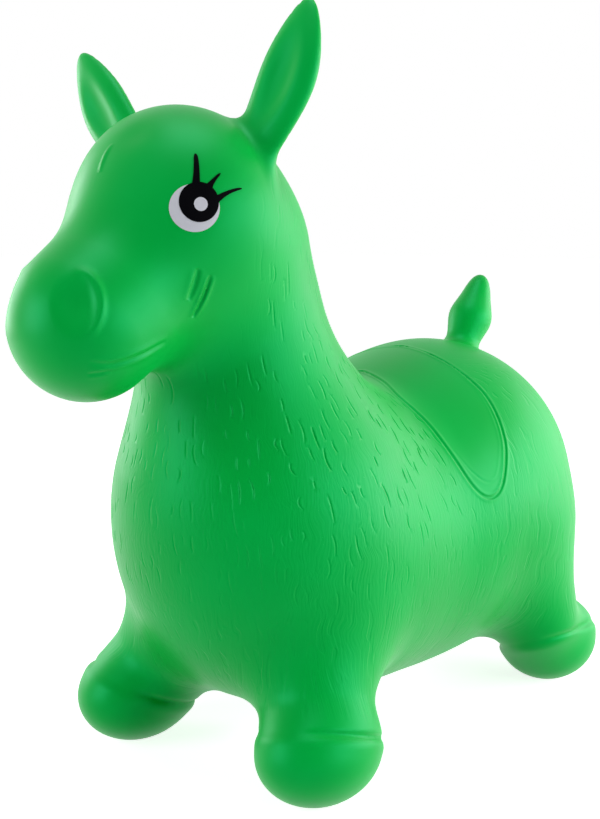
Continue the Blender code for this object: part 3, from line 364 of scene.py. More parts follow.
def in_box(places, line, margin):
    """Which places lie in the line's box, widened by the margin."""
    middle, half_size = (line.min(axis=0) + line.max(axis=0)) / 2, np.ptp(line, axis=0) / 2
    return np.flatnonzero((np.abs(places - middle) < (half_size + margin)).all(axis=1))


def pressed_lines(places, lines, size=0.008):
    """A groove along each line: a bell across it, less a wider and lower bell for the welt."""
    push = np.zeros(len(places))
    for line, width, depth, lift in lines:
        near = in_box(places, line, size)
        if not len(near):
            continue
        gap, share = beside(places[near], line)
        ends = 1.0 if line is SADDLE_EDGE else np.sin(np.pi * share) ** 0.6
        welt = lift * bell(gap - WELT_PLACE * width, WELT_WIDTH * width)
        push[near] += (depth * bell(gap, width) - welt) * ends
    return push


def pressed_nostrils(half):
    """A shallow oval bowl with a low rim, deeper and crisper towards the cheek."""
    side = unit(np.cross((0.0, 0.0, 1.0), NOSTRIL_OUT))
    up = np.cross(NOSTRIL_OUT, side)
    offset = half - NOSTRIL
    across, high = offset @ side / NOSTRIL_SIZE[0], offset @ up / NOSTRIL_SIZE[1]
    ring = np.hypot(across, high)
    crisp = soft_step(0.0, 0.9, across + 0.2 * high)
    bowl = BOWL_DEPTH * (1.0 - soft_step(0.45 * crisp, 1.30 - 0.30 * crisp, ring))
    rim = RIM_HEIGHT * bell(ring - RIM_RING, RIM_WIDTH) * crisp
    return (bowl - rim) * (np.abs(offset @ NOSTRIL_OUT) < 0.02)


def pressed_bands(half):
    """A crease over each hoof, deep at both sides and shallow at the toe and the heel, less a
    wide bell that lifts the hoof below it."""
    push = np.zeros(len(half))
    for leg in LEGS.values():
        offset = half - leg["band"]
        sideways = unit(np.cross(leg["axis"], (0.0, 1.0, 0.0)))
        deep = soft_step(0.55, 1.05, np.abs(offset @ sideways) / HOOF_HALF)
        deep = CREASE_LEAST + (1.0 - CREASE_LEAST) * deep
        height = offset @ leg["axis"]
        crease = CREASE_DEPTH * bell(height - CREASE_PLACE, CREASE_WIDTH)
        lift = HOOF_LIFT * bell(height - LIFT_PLACE, LIFT_WIDTH)
        push += (lengths(offset) < LEG_REACH) * (deep * crease - lift)
    return push


def pressed_seat(half):
    """A shallow round bed under the belly's middle, in which the valve's ring lies."""
    gap = np.hypot(half[:, 0], half[:, 1] - BELLY[1])
    return SEAT_DEPTH * (1.0 - soft_step(*SEAT_RADII, gap)) * (half[:, 2] < UNDERSIDE)


print("saddle outline:", len(SADDLE_EDGE), "points")

# %% [markdown]
# ## Engraved hair
#
# Hair is cut into the mould: short grooves that taper at both ends, bold on the shoulders and the
# chest's sides and faint elsewhere. It needs places on a pelt: the way round the spine and the way
# up. The pelt is divided into tall cells, and each may hold one stroke with its own place, length,
# lean and bend. The finest hair is left to the material.

# %% Pelt and strokes
PELT_RADIUS, RISE_RADIUS = 0.100, 0.115
TRUNK_HEIGHT, NECK_HEIGHT = 0.150, 0.220
# The spine's front end at three heights, and its rear end
SPINE_HEIGHTS, SPINE_FRONTS, SPINE_REAR = (0.160, 0.2235, 0.3625), (-0.060, -0.072, -0.0995), 0.120
# A cell's width and height, and the half length of the shortest and the longest stroke
STROKE_CELL, STROKE_HALF = (0.0070, 0.0215), (0.0040, 0.0104)
STROKE_LEAN, STROKE_BEND, STROKE_CROWD = 0.22, 0.0046, 0.58
STROKE_WIDTH, STROKE_PUSH, STROKE_LIP = 0.00064, 0.00110, 0.00024
# Where the strokes are boldest: a centre and radii
SHOULDER_STROKES = (0.085, -0.020, 0.225), (0.05, 0.045, 0.055)
CHEST_STROKES = (0.070, -0.125, 0.225), (0.04, 0.05, 0.05)
# The bare saddle: its middle and half length along the trunk, its lean to each side, its power
SADDLE_MIDDLE, SADDLE_HALF, SADDLE_LEAN_DEG, SADDLE_POWER = 0.0765, 0.0346, 74.0, 2.6


def spine_and_reach(points):
    """The spine's front end, its nearest point, the way out from there and that way's length."""
    x, y, z = points.T
    front = np.interp(z, SPINE_HEIGHTS, SPINE_FRONTS)
    spine = np.clip(y, front, front + (SPINE_REAR - front) * soft_step(0.320, 0.255, z))
    out = np.stack((x, y - spine), axis=1)
    return front, spine, out, lengths(out) + 1e-6


def way_up(points, reach):
    """Along the hair: an angle round the spine times a radius, and plain height on the neck."""
    z = points[:, 2]
    angle = np.arctan2(np.minimum(z, NECK_HEIGHT) - TRUNK_HEIGHT, reach)
    return RISE_RADIUS * angle + np.maximum(z - NECK_HEIGHT, 0.0)


def pelt_ring(points):
    """Places for noise: the spine point plus a fixed length outwards, and the way up."""
    _, spine, out, reach = spine_and_reach(points)
    ring = out / reach[:, None] * PELT_RADIUS
    return np.stack((ring[:, 0], ring[:, 1] + spine, way_up(points, reach)), axis=1)


def pelt_flat(points):
    """The pelt laid flat: the way round from the breastbone, the way up, and the real length of
    one unit of the way round."""
    front, spine, out, reach = spine_and_reach(points)
    round_it = PELT_RADIUS * np.arctan2(np.abs(out[:, 0]), -out[:, 1]) + spine - front
    scale = np.where(np.abs(out[:, 1]) > 1e-7, reach / PELT_RADIUS, 1.0)
    return np.sign(points[:, 0]) * round_it, way_up(points, reach), scale


def dice(column, row, throw):
    """A share from 0 to 1 for each cell: what is left after the point of a large sine."""
    value = np.sin(column * 12.9898 + row * 78.233 + throw * 37.719) * 43758.5453
    return value - np.floor(value)


def strokes(points, width):
    """A bell across each stroke. The stroke's line is its cell's middle, moved by a lean times
    the height and a bend times the height's square."""
    around, up, scale = pelt_flat(points)
    result = np.zeros(len(points))
    for side in (-1, 0, 1):
        column = np.floor(around / STROKE_CELL[0]) + side
        shift = dice(column, 0.0, 1.0) * STROKE_CELL[1]
        for step in (-1, 0, 1):
            row = np.floor((up + shift) / STROKE_CELL[1]) + step
            aside, above, long, lean, bend, crowd, bold = (
                dice(column, row, throw) for throw in range(2, 9))
            half = STROKE_HALF[0] + (STROKE_HALF[1] - STROKE_HALF[0]) * long
            high = up + shift - (row + 0.5 + 0.3 * (above - 0.5)) * STROKE_CELL[1]
            share = high / half
            line = (column + 0.5 + 0.6 * (aside - 0.5)) * STROKE_CELL[0]
            line += STROKE_LEAN * (lean - 0.5) * high
            line += STROKE_BEND * (bend - 0.5) * share * share
            full = np.clip(1.0 - share * share, 0.0, 1.0) ** 0.7
            full = full * (0.45 + 0.55 * bold)
            full *= crowd < STROKE_CROWD * scale
            np.maximum(result, full * bell((around - line) * scale, width), out=result)
    return result


def fading(half, centre, radii):
    """A bell of the distance from the centre, which is scaled by the radii."""
    return bell(lengths((half - vec(centre)) / vec(radii)), 1.0)


def off_face(half, top):
    """One on neck and trunk and zero on the face, fading between the two heights of the top."""
    y, z = half[:, 1], half[:, 2]
    kept = np.maximum(soft_step(-0.150, -0.118, y) * soft_step(*top, z), soft_step(0.315, 0.285, z))
    return kept * np.maximum(soft_step(-0.180, -0.160, y), soft_step(0.275, 0.265, z))


def in_saddle(half):
    """Below one inside the saddle: powers of the lean round the trunk and of the way along it."""
    lean = np.degrees(np.arctan2(half[:, 0], half[:, 2] - TRUNK_HEIGHT))
    along = (half[:, 1] - SADDLE_MIDDLE) / SADDLE_HALF
    return np.abs(lean / SADDLE_LEAN_DEG) ** SADDLE_POWER + np.abs(along) ** SADDLE_POWER


def stroke_depth(half):
    """How deep the strokes are: most on shoulders and chest sides, none on face, rump, legs and
    saddle. It is a product of soft steps, times the higher of two bells."""
    x, y, z = half.T
    kept = off_face(half, (0.400, 0.365))
    kept *= soft_step(0.085, 0.045, y) * soft_step(0.115, 0.150, z)
    kept *= soft_step(0.030, 0.050, np.hypot(x, np.minimum(y + 0.085, 0.0)))
    kept *= soft_step(1.0, 1.4, in_saddle(half))
    bold = np.maximum(fading(half, *SHOULDER_STROKES), 0.8 * fading(half, *CHEST_STROKES))
    return kept * (0.30 + 0.70 * bold)


def pressed_strokes(points, half):
    """The strokes as grooves, with a low lip on both sides."""
    depth = stroke_depth(half)
    push = np.zeros(len(points))
    there = np.flatnonzero(depth > 0.01)
    groove, around = (strokes(points[there], width) for width in (STROKE_WIDTH, 3.0 * STROKE_WIDTH))
    push[there] = depth[there] * (STROKE_PUSH * groove - STROKE_LIP * around)
    return push


def skin(points):
    """The blown form with everything that the mould presses into it."""
    half = folded(points)
    dent = DENT_DEPTH * bell(lengths(points - BROW_DENT), DENT_WIDTH)
    return (horse(points) + pressed_lines(half, PRESSED) + pressed_lines(points, FOLDS)
            + pressed_nostrils(half) + pressed_bands(half) + pressed_seat(half)
            + pressed_strokes(points, half) + dent)


print("a stroke is", 2000 * STROKE_HALF[0], "to", 2000 * STROKE_HALF[1], "mm long")

# %% [markdown]
# ## From the field to a net of faces
#
# The space round the toy is cut into small cubes, one point is set in each cube that the skin
# passes through, and points of neighbouring cubes are joined into quads. The points are pushed
# along the field's slope until they lie on the skin, and the same slope gives each its normal.
# Faces near something fine are split into four, up to three times, and the rest stay large.

# %% Net, slope and push
def slope(form, points, step=2e-4):
    """The field's slope at each point: its change over a short step each way."""
    return np.stack([(form(points + d) - form(points - d)) / (2 * step)
                     for d in np.eye(3) * step], axis=1)


def facing(form, points):
    """The field's slope as a direction, which points out of the skin."""
    steep = slope(form, points)
    return steep / lengths(steep)[:, None]


def on_skin(form, points, rounds=3, reach=0.004):
    """The points moved onto the skin, along the slope by the field's value over its size."""
    for _ in range(rounds):
        steep = slope(form, points)
        move = steep * (form(points) / np.maximum((steep ** 2).sum(axis=1), 0.1))[:, None]
        size = lengths(move)[:, None]
        points = points - move * np.minimum(1.0, reach / np.maximum(size, 1e-12))
    return points


def cube_values(form, low, cell, counts, coarse=4):
    """The field at all corners of cubes: coarse first, then fine near the skin."""
    steps = (np.arange(0, n, coarse) for n in counts)
    index = np.stack(np.meshgrid(*steps, indexing="ij"), axis=-1)
    rough = form(low + cell * index.reshape(-1, 3)).reshape(index.shape[:3])
    values = np.repeat(np.repeat(np.repeat(rough, coarse, 0), coarse, 1), coarse, 2)
    values = values[:counts[0], :counts[1], :counts[2]].copy()
    near = np.argwhere(np.abs(values) < 2.2 * coarse * cell)
    values[tuple(near.T)] = form(low + cell * near)
    return values


def skin_net(form, low, high, cell):
    """One point in every cube that the skin crosses, and a quad round every edge it crosses."""
    low = vec(low)
    counts = np.ceil((vec(high) - low) / cell).astype(int) + 1
    values = cube_values(form, low, cell, counts)
    inside = values < 0
    corners = [inside[x:counts[0] - 1 + x, y:counts[1] - 1 + y, z:counts[2] - 1 + z]
               for x in (0, 1) for y in (0, 1) for z in (0, 1)]
    filled = np.sum(corners, axis=0)
    crossed = (filled > 0) & (filled < 8)
    number = np.full(counts - 1, -1)
    number[crossed] = np.arange(crossed.sum())
    points = low + cell * (np.argwhere(crossed) + 0.5)
    quads = []
    for axis in range(3):
        first, second = (axis + 1) % 3, (axis + 2) % 3
        here = np.take(inside, np.arange(counts[axis] - 1), axis=axis)
        ahead = np.take(inside, np.arange(1, counts[axis]), axis=axis)
        edges = np.argwhere(here != ahead)
        way = here[tuple(edges.T)]
        ring = []
        for a, b in ((1, 1), (0, 1), (0, 0), (1, 0)):
            cube = edges.copy()
            cube[:, first] -= a
            cube[:, second] -= b
            ring.append(number[tuple(cube.T)])
        ring = np.stack(ring, axis=1)
        ring[~way] = ring[~way][:, ::-1]
        quads.append(ring)
    return points, np.vstack(quads)


def split_in_four(points, loops, sizes, chosen):
    """Cuts the chosen quads into four. Faces beside them take the new edge points in."""
    starts = np.cumsum(sizes) - sizes
    face = np.repeat(np.arange(len(sizes)), sizes)
    place = np.arange(len(loops)) - starts[face]
    following = loops[starts[face] + (place + 1) % sizes[face]]
    chosen = chosen & (sizes == 4)
    key = np.minimum(loops, following) * len(points) + np.maximum(loops, following)
    keys, edge = np.unique(key, return_inverse=True)
    cut = np.zeros(len(keys), bool)
    cut[edge[chosen[face]]] = True
    middle = np.full(len(keys), -1)
    middle[cut] = len(points) + np.arange(cut.sum())
    halfway = (points[keys[cut] // len(points)] + points[keys[cut] % len(points)]) / 2
    quads = loops[chosen[face]].reshape(-1, 4)
    mids = middle[edge[chosen[face]]].reshape(-1, 4)
    hub = len(points) + cut.sum() + np.arange(len(quads))
    centres = points[quads].mean(axis=1)
    new = np.stack([np.stack((quads[:, i], mids[:, i], hub, mids[:, i - 1]), axis=1)
                    for i in range(4)], axis=1)
    kept = ~chosen[face]
    pairs = np.stack((loops[kept], middle[edge[kept]]), axis=1)
    kept_loops = pairs.ravel()
    used = kept_loops >= 0
    kept_sizes = np.bincount(np.repeat(face[kept], 2)[used], minlength=len(sizes))[~chosen]
    return (np.vstack((points, halfway, centres)), np.concatenate((kept_loops[used], new.ravel())),
            np.concatenate((kept_sizes, np.full(4 * len(quads), 4))))


def middles(points, loops, sizes):
    """The middle of each face."""
    face = np.repeat(np.arange(len(sizes)), sizes)
    sums = [np.bincount(face, points[loops, i], len(sizes)) for i in range(3)]
    return np.stack(sums, axis=1) / sizes[:, None]


# %% The net of the whole horse
NET_CELL = 0.0042
low_corner, high_corner = (-0.136, -0.280, -0.008), (0.136, 0.280, 0.531)
points, quads = skin_net(horse, low_corner, high_corner, NET_CELL)
points = on_skin(horse, points, 4)
loops, sizes = quads.ravel(), np.full(len(quads), 4)
print("first net:", len(points), "points,", len(quads), "quads")

# %% Which faces to split
def near_stroke(middle, width, least):
    """Which faces lie where the strokes' bell of this width is higher than the least value."""
    close = stroke_depth(folded(middle)) > 0.01
    close[close] = strokes(middle[close], width) > least
    return close


def near_detail(middle, margin):
    """Which faces lie close to something fine: a pressed line, a nostril, the brow's fold, the
    valve's bed or a crease over a hoof."""
    half = folded(middle)
    close = lengths((half - NOSTRIL) / NOSTRIL_REACH) < 1.0
    for line in [entry[0] for entry in PRESSED]:
        inner = in_box(half, line, margin)
        close[inner] |= beside(half[inner], line)[0] < margin
    close |= lengths(middle - BROW_FOLD.mean(axis=0)) < FOLD_REACH
    from_valve = np.hypot(half[:, 0], half[:, 1] - BELLY[1])
    close |= (from_valve < 0.010 + margin) & (half[:, 2] < UNDERSIDE)
    for leg in LEGS.values():
        close |= ((lengths(half - leg["band"]) < LEG_REACH)
                  & (np.abs((half - leg["band"]) @ leg["axis"] - 0.001) < margin + 0.002))
    return close


def small_parts(middle):
    """Which faces belong to the ears, the tail or the head."""
    ears = (middle[:, 2] > EARS_OVER) & (np.abs(middle[:, 0]) > EARS_BESIDE)
    rear = (middle[:, 2] > TAIL_OVER) & (middle[:, 1] > TAIL_BEHIND)
    return ears | rear | (middle[:, 1] < HEAD_BEFORE)


NOSTRIL_REACH, FOLD_REACH = 0.024, 0.020
EARS_OVER, EARS_BESIDE, TAIL_OVER, TAIL_BEHIND, HEAD_BEFORE = 0.435, 0.04, 0.275, 0.185, -0.115
# For each round the margin round a detail, and the width and least height of the strokes' bell
DETAIL_MARGINS = 0.0085, 0.0052
STROKE_BELLS = (0.0080, 0.1), (0.0022, 0.25), (0.0010, 0.28)
middle = middles(points, loops, sizes)
close = near_detail(middle, DETAIL_MARGINS[0]) | near_stroke(middle, *STROKE_BELLS[0])
close |= small_parts(middle)
points, loops, sizes = split_in_four(points, loops, sizes, close)
points = on_skin(horse, points, 2)
middle = middles(points, loops, sizes)
close = near_detail(middle, DETAIL_MARGINS[1]) | near_stroke(middle, *STROKE_BELLS[1])
points, loops, sizes = split_in_four(points, loops, sizes, close)
close = near_stroke(middles(points, loops, sizes), *STROKE_BELLS[2])
points, loops, sizes = split_in_four(points, loops, sizes, close)
points = on_skin(skin, points, 2)
points[points[:, 2] < 1e-4, 2] = 0.0
normals = facing(skin, points)
print("fine net:", len(points), "points,", len(sizes), "faces")

# %% [markdown]
# ## Cutting the net into pieces
#
# The real skin has no seams. It bends at the neck, the ears' roots and the tail's root, and it
# squeezes at the legs. Each of these is a piece of its own, and chest, rump and head are the rigid
# pieces between them. Neighbours share the points on their border.

# %% Where each piece begins
NECK_UP = unit((0.0, -0.34202, 0.93969))
NECK_START, NECK_END = vec((0, -0.0827, 0.2775)), vec((0, -0.0943, 0.3094))
TAIL_START = TAIL_SEAT + 0.0170 * TAIL_UP
EAR_START, EAR_END = 0.0260, 0.0470
LEG_START, LEG_END = {"front": 0.040, "rear": 0.069}, {"front": 0.074, "rear": 0.100}
# Each border lies this far short of the start given for its piece
MARGIN = 0.0045
# Planes across Y behind the chest and before the tail, and a leaf's inner side and half width
CHEST_END, TAIL_FRONT, EAR_INNER, EAR_HALF_WIDTH = 0.06, 0.17, 0.03, 0.032


def piece_of(middle):
    """The name of the piece that each face belongs to, by the planes between the pieces."""
    height = (middle - NECK_START) @ NECK_UP
    band = (NECK_END - NECK_START) @ NECK_UP
    front = middle[:, 1] < CHEST_END
    names = np.where(front, "chest", "rump").astype(object)
    names[front & (height > -MARGIN)] = "neck"
    names[front & (height > band + MARGIN)] = "head"
    for side, sign in SIDES.items():
        across, _, along = in_ear(middle, side).T
        reach = (middle[:, 0] * sign > EAR_INNER) & (np.abs(across) < EAR_HALF_WIDTH)
        names[reach & (along > EAR_START - MARGIN)] = side + "_ear"
        for end, leg in LEGS.items():
            out = (middle * vec((sign, 1, 1))) @ leg["out"]
            here = (middle[:, 0] * sign > 0) & (front if end == "front" else ~front)
            names[here & (out > LEG_START[end] - MARGIN)] = f"{end}_{side}_leg"
    names[(middle[:, 1] > TAIL_FRONT) & ((middle - TAIL_START) @ TAIL_UP > -MARGIN)] = "tail"
    return names


names = piece_of(middles(points, loops, sizes))
for name in sorted(set(names)):
    print(name, (names == name).sum(), "faces")

# %% [markdown]
# ## Soft PVC
#
# Soft PVC is tinted through and polished by the mould, so it is one green with a satin shine.
# Close up it isn't quite even: it is lighter where the skin was blown thin, and handling leaves it
# duller in places. One group of nodes gives these slow clouds to every material, and another
# gives the hair.

# %% Shared effects
def feed(tree, node, inputs):
    """Gives a node its inputs, each as a plain value or as the socket that it reads."""
    for socket, value in inputs.items():
        if isinstance(value, bpy.types.NodeSocket):
            tree.links.new(value, node.inputs[socket])
        else:
            node.inputs[socket].default_value = value
    return node


def add(tree, kind, inputs=None, **settings):
    """A shader node of this kind with its settings and its inputs."""
    node = tree.nodes.new("ShaderNode" + kind)
    for name, value in settings.items():
        setattr(node, name, value)
    return feed(tree, node, inputs or {})


def node_group(name, inputs, outputs):
    """An empty group with a vector input, further inputs as (name, value) and value outputs."""
    group = bpy.data.node_groups.new(name, "ShaderNodeTree")
    group.interface.new_socket("Vector", in_out="INPUT", socket_type="NodeSocketVector")
    for socket, value in inputs:
        made = group.interface.new_socket(socket, in_out="INPUT", socket_type="NodeSocketFloat")
        made.default_value = value
    for socket in outputs:
        group.interface.new_socket(socket, in_out="OUTPUT", socket_type="NodeSocketFloat")
    given = group.nodes.new("NodeGroupInput").outputs
    return group, given, group.nodes.new("NodeGroupOutput")


def clouds_group():
    """Slow clouds and a fine grain: noise of two sizes, as values from 0 to 1."""
    group, given, result = node_group("moulding_clouds", (("Size", CLOUD_SIZE),),
                                      ("Clouds", "Grain"))
    noise = add(group, "TexNoise", {"Vector": given["Vector"], "Scale": given["Size"],
                                    "Detail": 3.0, "Roughness": 0.45})
    ramp = add(group, "MapRange", {"Value": noise.outputs["Fac"],
                                   "From Min": 0.30, "From Max": 0.70})
    grain = add(group, "TexNoise", {"Vector": given["Vector"], "Scale": GRAIN_SCALE, "Detail": 2.0})
    feed(group, result, {"Clouds": ramp.outputs["Result"], "Grain": grain.outputs["Fac"]})
    return group


def hair_group():
    """Hair on the pelt coordinates. Noise that is squeezed along the hair gives long strokes, a
    slow noise added to the place makes them wavy, and only the peaks are kept. A second, finer
    noise gives the comb. Long and Fine set how deep the two are."""
    group, given, result = node_group("engraved_hair", (("Long", 1.0), ("Fine", 1.0)), ("Height",))

    def maths(operation, first, second):
        return add(group, "Math", {0: first, 1: second}, operation=operation).outputs[0]

    def noise(vector, scale, detail=0.0):
        return add(group, "TexNoise", {"Vector": vector, "Scale": scale, "Detail": detail}).outputs

    def squeezed(share):
        flat = {0: wavy, 1: (1.0, 1.0, share)}
        return add(group, "VectorMath", flat, operation="MULTIPLY").outputs[0]

    wave = {0: noise(given["Vector"], WAVE_SCALE)["Color"], 1: (WAVE_SIZE, WAVE_SIZE, 0.0),
            2: given["Vector"]}
    wavy = add(group, "VectorMath", wave, operation="MULTIPLY_ADD").outputs[0]
    stroke = noise(squeezed(STROKE_SQUEEZE), STROKE_SCALE)["Fac"]
    peaks = add(group, "MapRange", {"Value": stroke, "From Min": STROKE_PEAKS[0],
                                    "From Max": STROKE_PEAKS[1]}, interpolation_type="SMOOTHSTEP")
    comb = noise(squeezed(COMB_SQUEEZE), COMB_SCALE, 1.0)["Fac"]
    fine = maths("MULTIPLY", maths("MULTIPLY", comb, given["Fine"]), COMB_DEPTH)
    long = maths("MULTIPLY", peaks.outputs["Result"], given["Long"])
    feed(group, result, {"Height": maths("ADD", long, fine)})
    return group


CLOUD_SIZE, GRAIN_SCALE, GRAIN_DEPTH, HAIR_DEPTH = 14.0, 900.0, 0.0002, 0.0005
WAVE_SIZE, WAVE_SCALE = 0.009, 60.0
STROKE_SQUEEZE, STROKE_SCALE, STROKE_PEAKS = 0.11, 240.0, (0.60, 0.70)
COMB_SQUEEZE, COMB_SCALE, COMB_DEPTH = 0.05, 620.0, 0.42
CLOUDS, HAIR = clouds_group(), hair_group()
print("groups:", CLOUDS.name, HAIR.name)


# %% Materials
def plastic(name, dark, light, roughness=(0.42, 0.50), bump=0.03, size=60.0, shine=0.5,
            tint=(1.0, 1.0, 1.0)):
    """A plastic whose colour and dullness drift between two values with the slow clouds."""
    material = bpy.data.materials.new(name)
    material.use_nodes = True
    tree = material.node_tree
    place = add(tree, "TexCoord").outputs["Object"]
    clouds = add(tree, "Group", {"Vector": place, "Size": size}, node_tree=CLOUDS).outputs
    mix = add(tree, "Mix", data_type="RGBA")
    feed(tree, mix, {0: clouds["Clouds"], 6: (*dark, 1.0), 7: (*light, 1.0)})
    dull = add(tree, "MapRange", {"Value": clouds["Clouds"], "To Min": roughness[0],
                                  "To Max": roughness[1]})
    relief = add(tree, "Bump", {"Strength": bump, "Distance": GRAIN_DEPTH,
                                "Height": clouds["Grain"]}, name="grain")
    feed(tree, tree.nodes["Principled BSDF"], {
        "Base Color": mix.outputs[2], "Roughness": dull.outputs["Result"],
        "Normal": relief.outputs["Normal"], "Specular IOR Level": shine,
        "Specular Tint": (*tint, 1.0)})
    return material


def with_hair(material):
    """Adds the engraved hair under the grain, as deep as the mesh's own two hair values say."""
    tree = material.node_tree

    def stored(attribute):
        return add(tree, "Attribute", attribute_name=attribute).outputs

    hair = add(tree, "Group", {"Vector": stored("hair_place")["Vector"],
                               "Long": stored("hair_long")["Fac"],
                               "Fine": stored("hair_fine")["Fac"]}, node_tree=HAIR)
    relief = add(tree, "Bump", {"Strength": 1.0, "Distance": HAIR_DEPTH,
                                "Height": hair.outputs["Height"]}, invert=True)
    feed(tree, tree.nodes["grain"], {"Normal": relief.outputs["Normal"]})
    return material


PVC = with_hair(plastic("soft_green_pvc", (0.0, 0.390, 0.038), (0.0, 0.435, 0.054),
                        (0.38, 0.46), 0.02, CLOUD_SIZE, shine=0.45, tint=(0.06, 1.0, 0.60)))
EYE_WHITE = plastic("eye_white_paint", (0.650, 0.660, 0.740), (0.690, 0.700, 0.770), shine=0.25)
EYE_BLACK = plastic("eye_black_paint", (0.001, 0.001, 0.002), (0.002, 0.002, 0.003), shine=0.02)
VALVE = plastic("valve_plastic", (0.780, 0.780, 0.760), (0.830, 0.830, 0.810), (0.38, 0.46))
print("materials:", PVC.name, EYE_WHITE.name, EYE_BLACK.name, VALVE.name)

# %% [markdown]
# ## The pieces of the skin
#
# Each piece takes its faces from the net and its shading from the slope of the field. That hides
# the borders: two pieces that meet have the same normal there.

# %% Skin pieces
def piece(name, points, loops, sizes, material, normals=None):
    """A mesh object from rings of point numbers, smooth all over, with its own normals if given."""
    mesh = bpy.data.meshes.new(name)
    mesh.vertices.add(len(points))
    mesh.vertices.foreach_set("co", points.astype(np.float32).ravel())
    mesh.loops.add(len(loops))
    mesh.loops.foreach_set("vertex_index", loops.astype(np.int32))
    mesh.polygons.add(len(sizes))
    mesh.polygons.foreach_set("loop_start", (np.cumsum(sizes) - sizes).astype(np.int32))
    mesh.update(calc_edges=True)
    mesh.validate()
    mesh.shade_smooth()
    if normals is not None:
        mesh.normals_split_custom_set_from_vertices(normals.tolist())
    mesh.materials.append(material)
    obj = put(name, mesh)
    return obj


def hair_depths(points, normals):
    """How deep the material's long strokes and its fine comb are. Both fade out on face, ears,
    tail, hooves and saddle, and where the skin faces up or down. The long ones are left out
    where strokes are pressed into the form."""
    half = folded(points)
    y, z = half[:, 1], half[:, 2]
    kept = off_face(half, (0.430, 0.395))
    kept *= soft_step(0.9, 1.25, np.where(z > TRUNK_HEIGHT, in_saddle(half), 2.0))
    kept *= 1.0 - soft_step(0.80, 0.97, np.abs(normals[:, 2]))
    kept[(y > TAIL_FRONT) & ((half - TAIL_START) @ TAIL_UP > -0.012)] = 0.0
    for leg in LEGS.values():
        foot = lengths(half - leg["band"]) < LEG_REACH
        kept[foot] *= soft_step(-0.004, -0.016, (half[foot] - leg["band"]) @ leg["axis"])
    pressed = soft_step(0.02, 0.20, stroke_depth(half))
    return kept * (0.30 - 0.30 * pressed), kept * (0.35 + 0.65 * soft_step(0.28, 0.17, z))


def store(obj, attribute, values):
    """Keeps one value or one place per point on the mesh, for the material to read."""
    kind, field = ("FLOAT", "value") if values.ndim == 1 else ("FLOAT_VECTOR", "vector")
    layer = obj.data.attributes.new(attribute, kind, "POINT")
    layer.data.foreach_set(field, values.astype(np.float32).ravel())


def skin_piece(name):
    """The part of the net that carries this piece's name, with only the points it uses."""
    face = np.repeat(names == name, sizes)
    used, local = np.unique(loops[face], return_inverse=True)
    places, outward = points[used], normals[used]
    obj = piece(name + "_skin", places, local, sizes[names == name], PVC, outward)
    long, fine = hair_depths(places, outward)
    store(obj, "hair_long", long)
    store(obj, "hair_fine", fine)
    store(obj, "hair_place", pelt_ring(places))
    return obj


skins = {name: skin_piece(name) for name in sorted(set(names))}
for name in ("chest", "rump"):
    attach(skins[name], "trunk")
    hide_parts("torso")
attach(skins["head"], "head")
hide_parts("head")
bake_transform(skins["neck"])
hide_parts("neck")
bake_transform(skins["tail"])
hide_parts("tail", "tail_root")
for side, sign in SIDES.items():
    leaf = ear_directions(side)[2]
    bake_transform(skins[side + "_ear"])
    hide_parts(side + "_ear", side + "_ear_root")
    for end, leg in LEGS.items():
        name = f"{end}_{side}"
        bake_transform(skins[name + "_leg"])
        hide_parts(name + "_leg", name + "_hoof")
print("skins:", ", ".join(f"{name} {len(obj.data.vertices)}" for name, obj in skins.items()))

# %% [markdown]
# ## Painted eyes
#
# The eyes are sprayed on: a white round, a black round with three lashes that sits high and back
# in it, and a small white glint. Each is worked out flat, ring by ring, and laid on the skin
# along the field's slope.

# %% Eyes
def eye_place(sign):
    """Where a ray from the cranium's middle meets the skin, and the eye's directions there."""
    ray = direction(sign * math.radians(EYE_TURN_DEG), math.radians(EYE_RISE_DEG))
    reach = np.linspace(0.03, 0.12, 4001)
    centre = CRANIUM + reach[np.argmax(horse(CRANIUM + reach[:, None] * ray) > 0)] * ray
    outward = unit(slope(horse, centre[None])[0])
    level = unit(np.cross((0.0, 0.0, sign), outward))
    return centre, level, np.cross(outward, level) * sign


def laid_on(flat, eye, lift):
    """Flat points carried along the eye's directions and pushed to a small height over the skin."""
    centre, level, up = eye
    placed = centre + flat[:, :1] * level + flat[:, 1:2] * up
    return on_skin(lambda p: horse(p) - lift, placed, 4)


def ring_quads(rings, turns):
    """The quads between rings of points that follow each other outwards."""
    row, here = turns * np.arange(rings - 1)[:, None], np.arange(turns)
    ahead = (here + 1) % turns
    quads = row + here, row + turns + here, row + turns + ahead, row + ahead
    return np.stack(quads, axis=2).reshape(-1, 4)


def round_patch(centre, radii, rings, turns):
    """A disc: a hub point and rings of points out to the rim, each a cosine and a sine."""
    angle = np.arange(turns) * math.tau / turns
    share = np.linspace(0.0, 1.0, rings)[1:]
    circle = np.stack((np.cos(angle) * radii[0], np.sin(angle) * radii[1]), axis=1)
    rounds = (vec(centre) + share[:, None, None] * circle).reshape(-1, 2)
    quads = 1 + ring_quads(rings - 1, turns)
    fan = np.stack((np.zeros(turns, int), quads[:turns, 0], quads[:turns, 3]), axis=1)
    return (np.vstack((centre, rounds)), np.concatenate((fan.ravel(), quads.ravel())),
            np.repeat((3, 4), (turns, len(quads))))


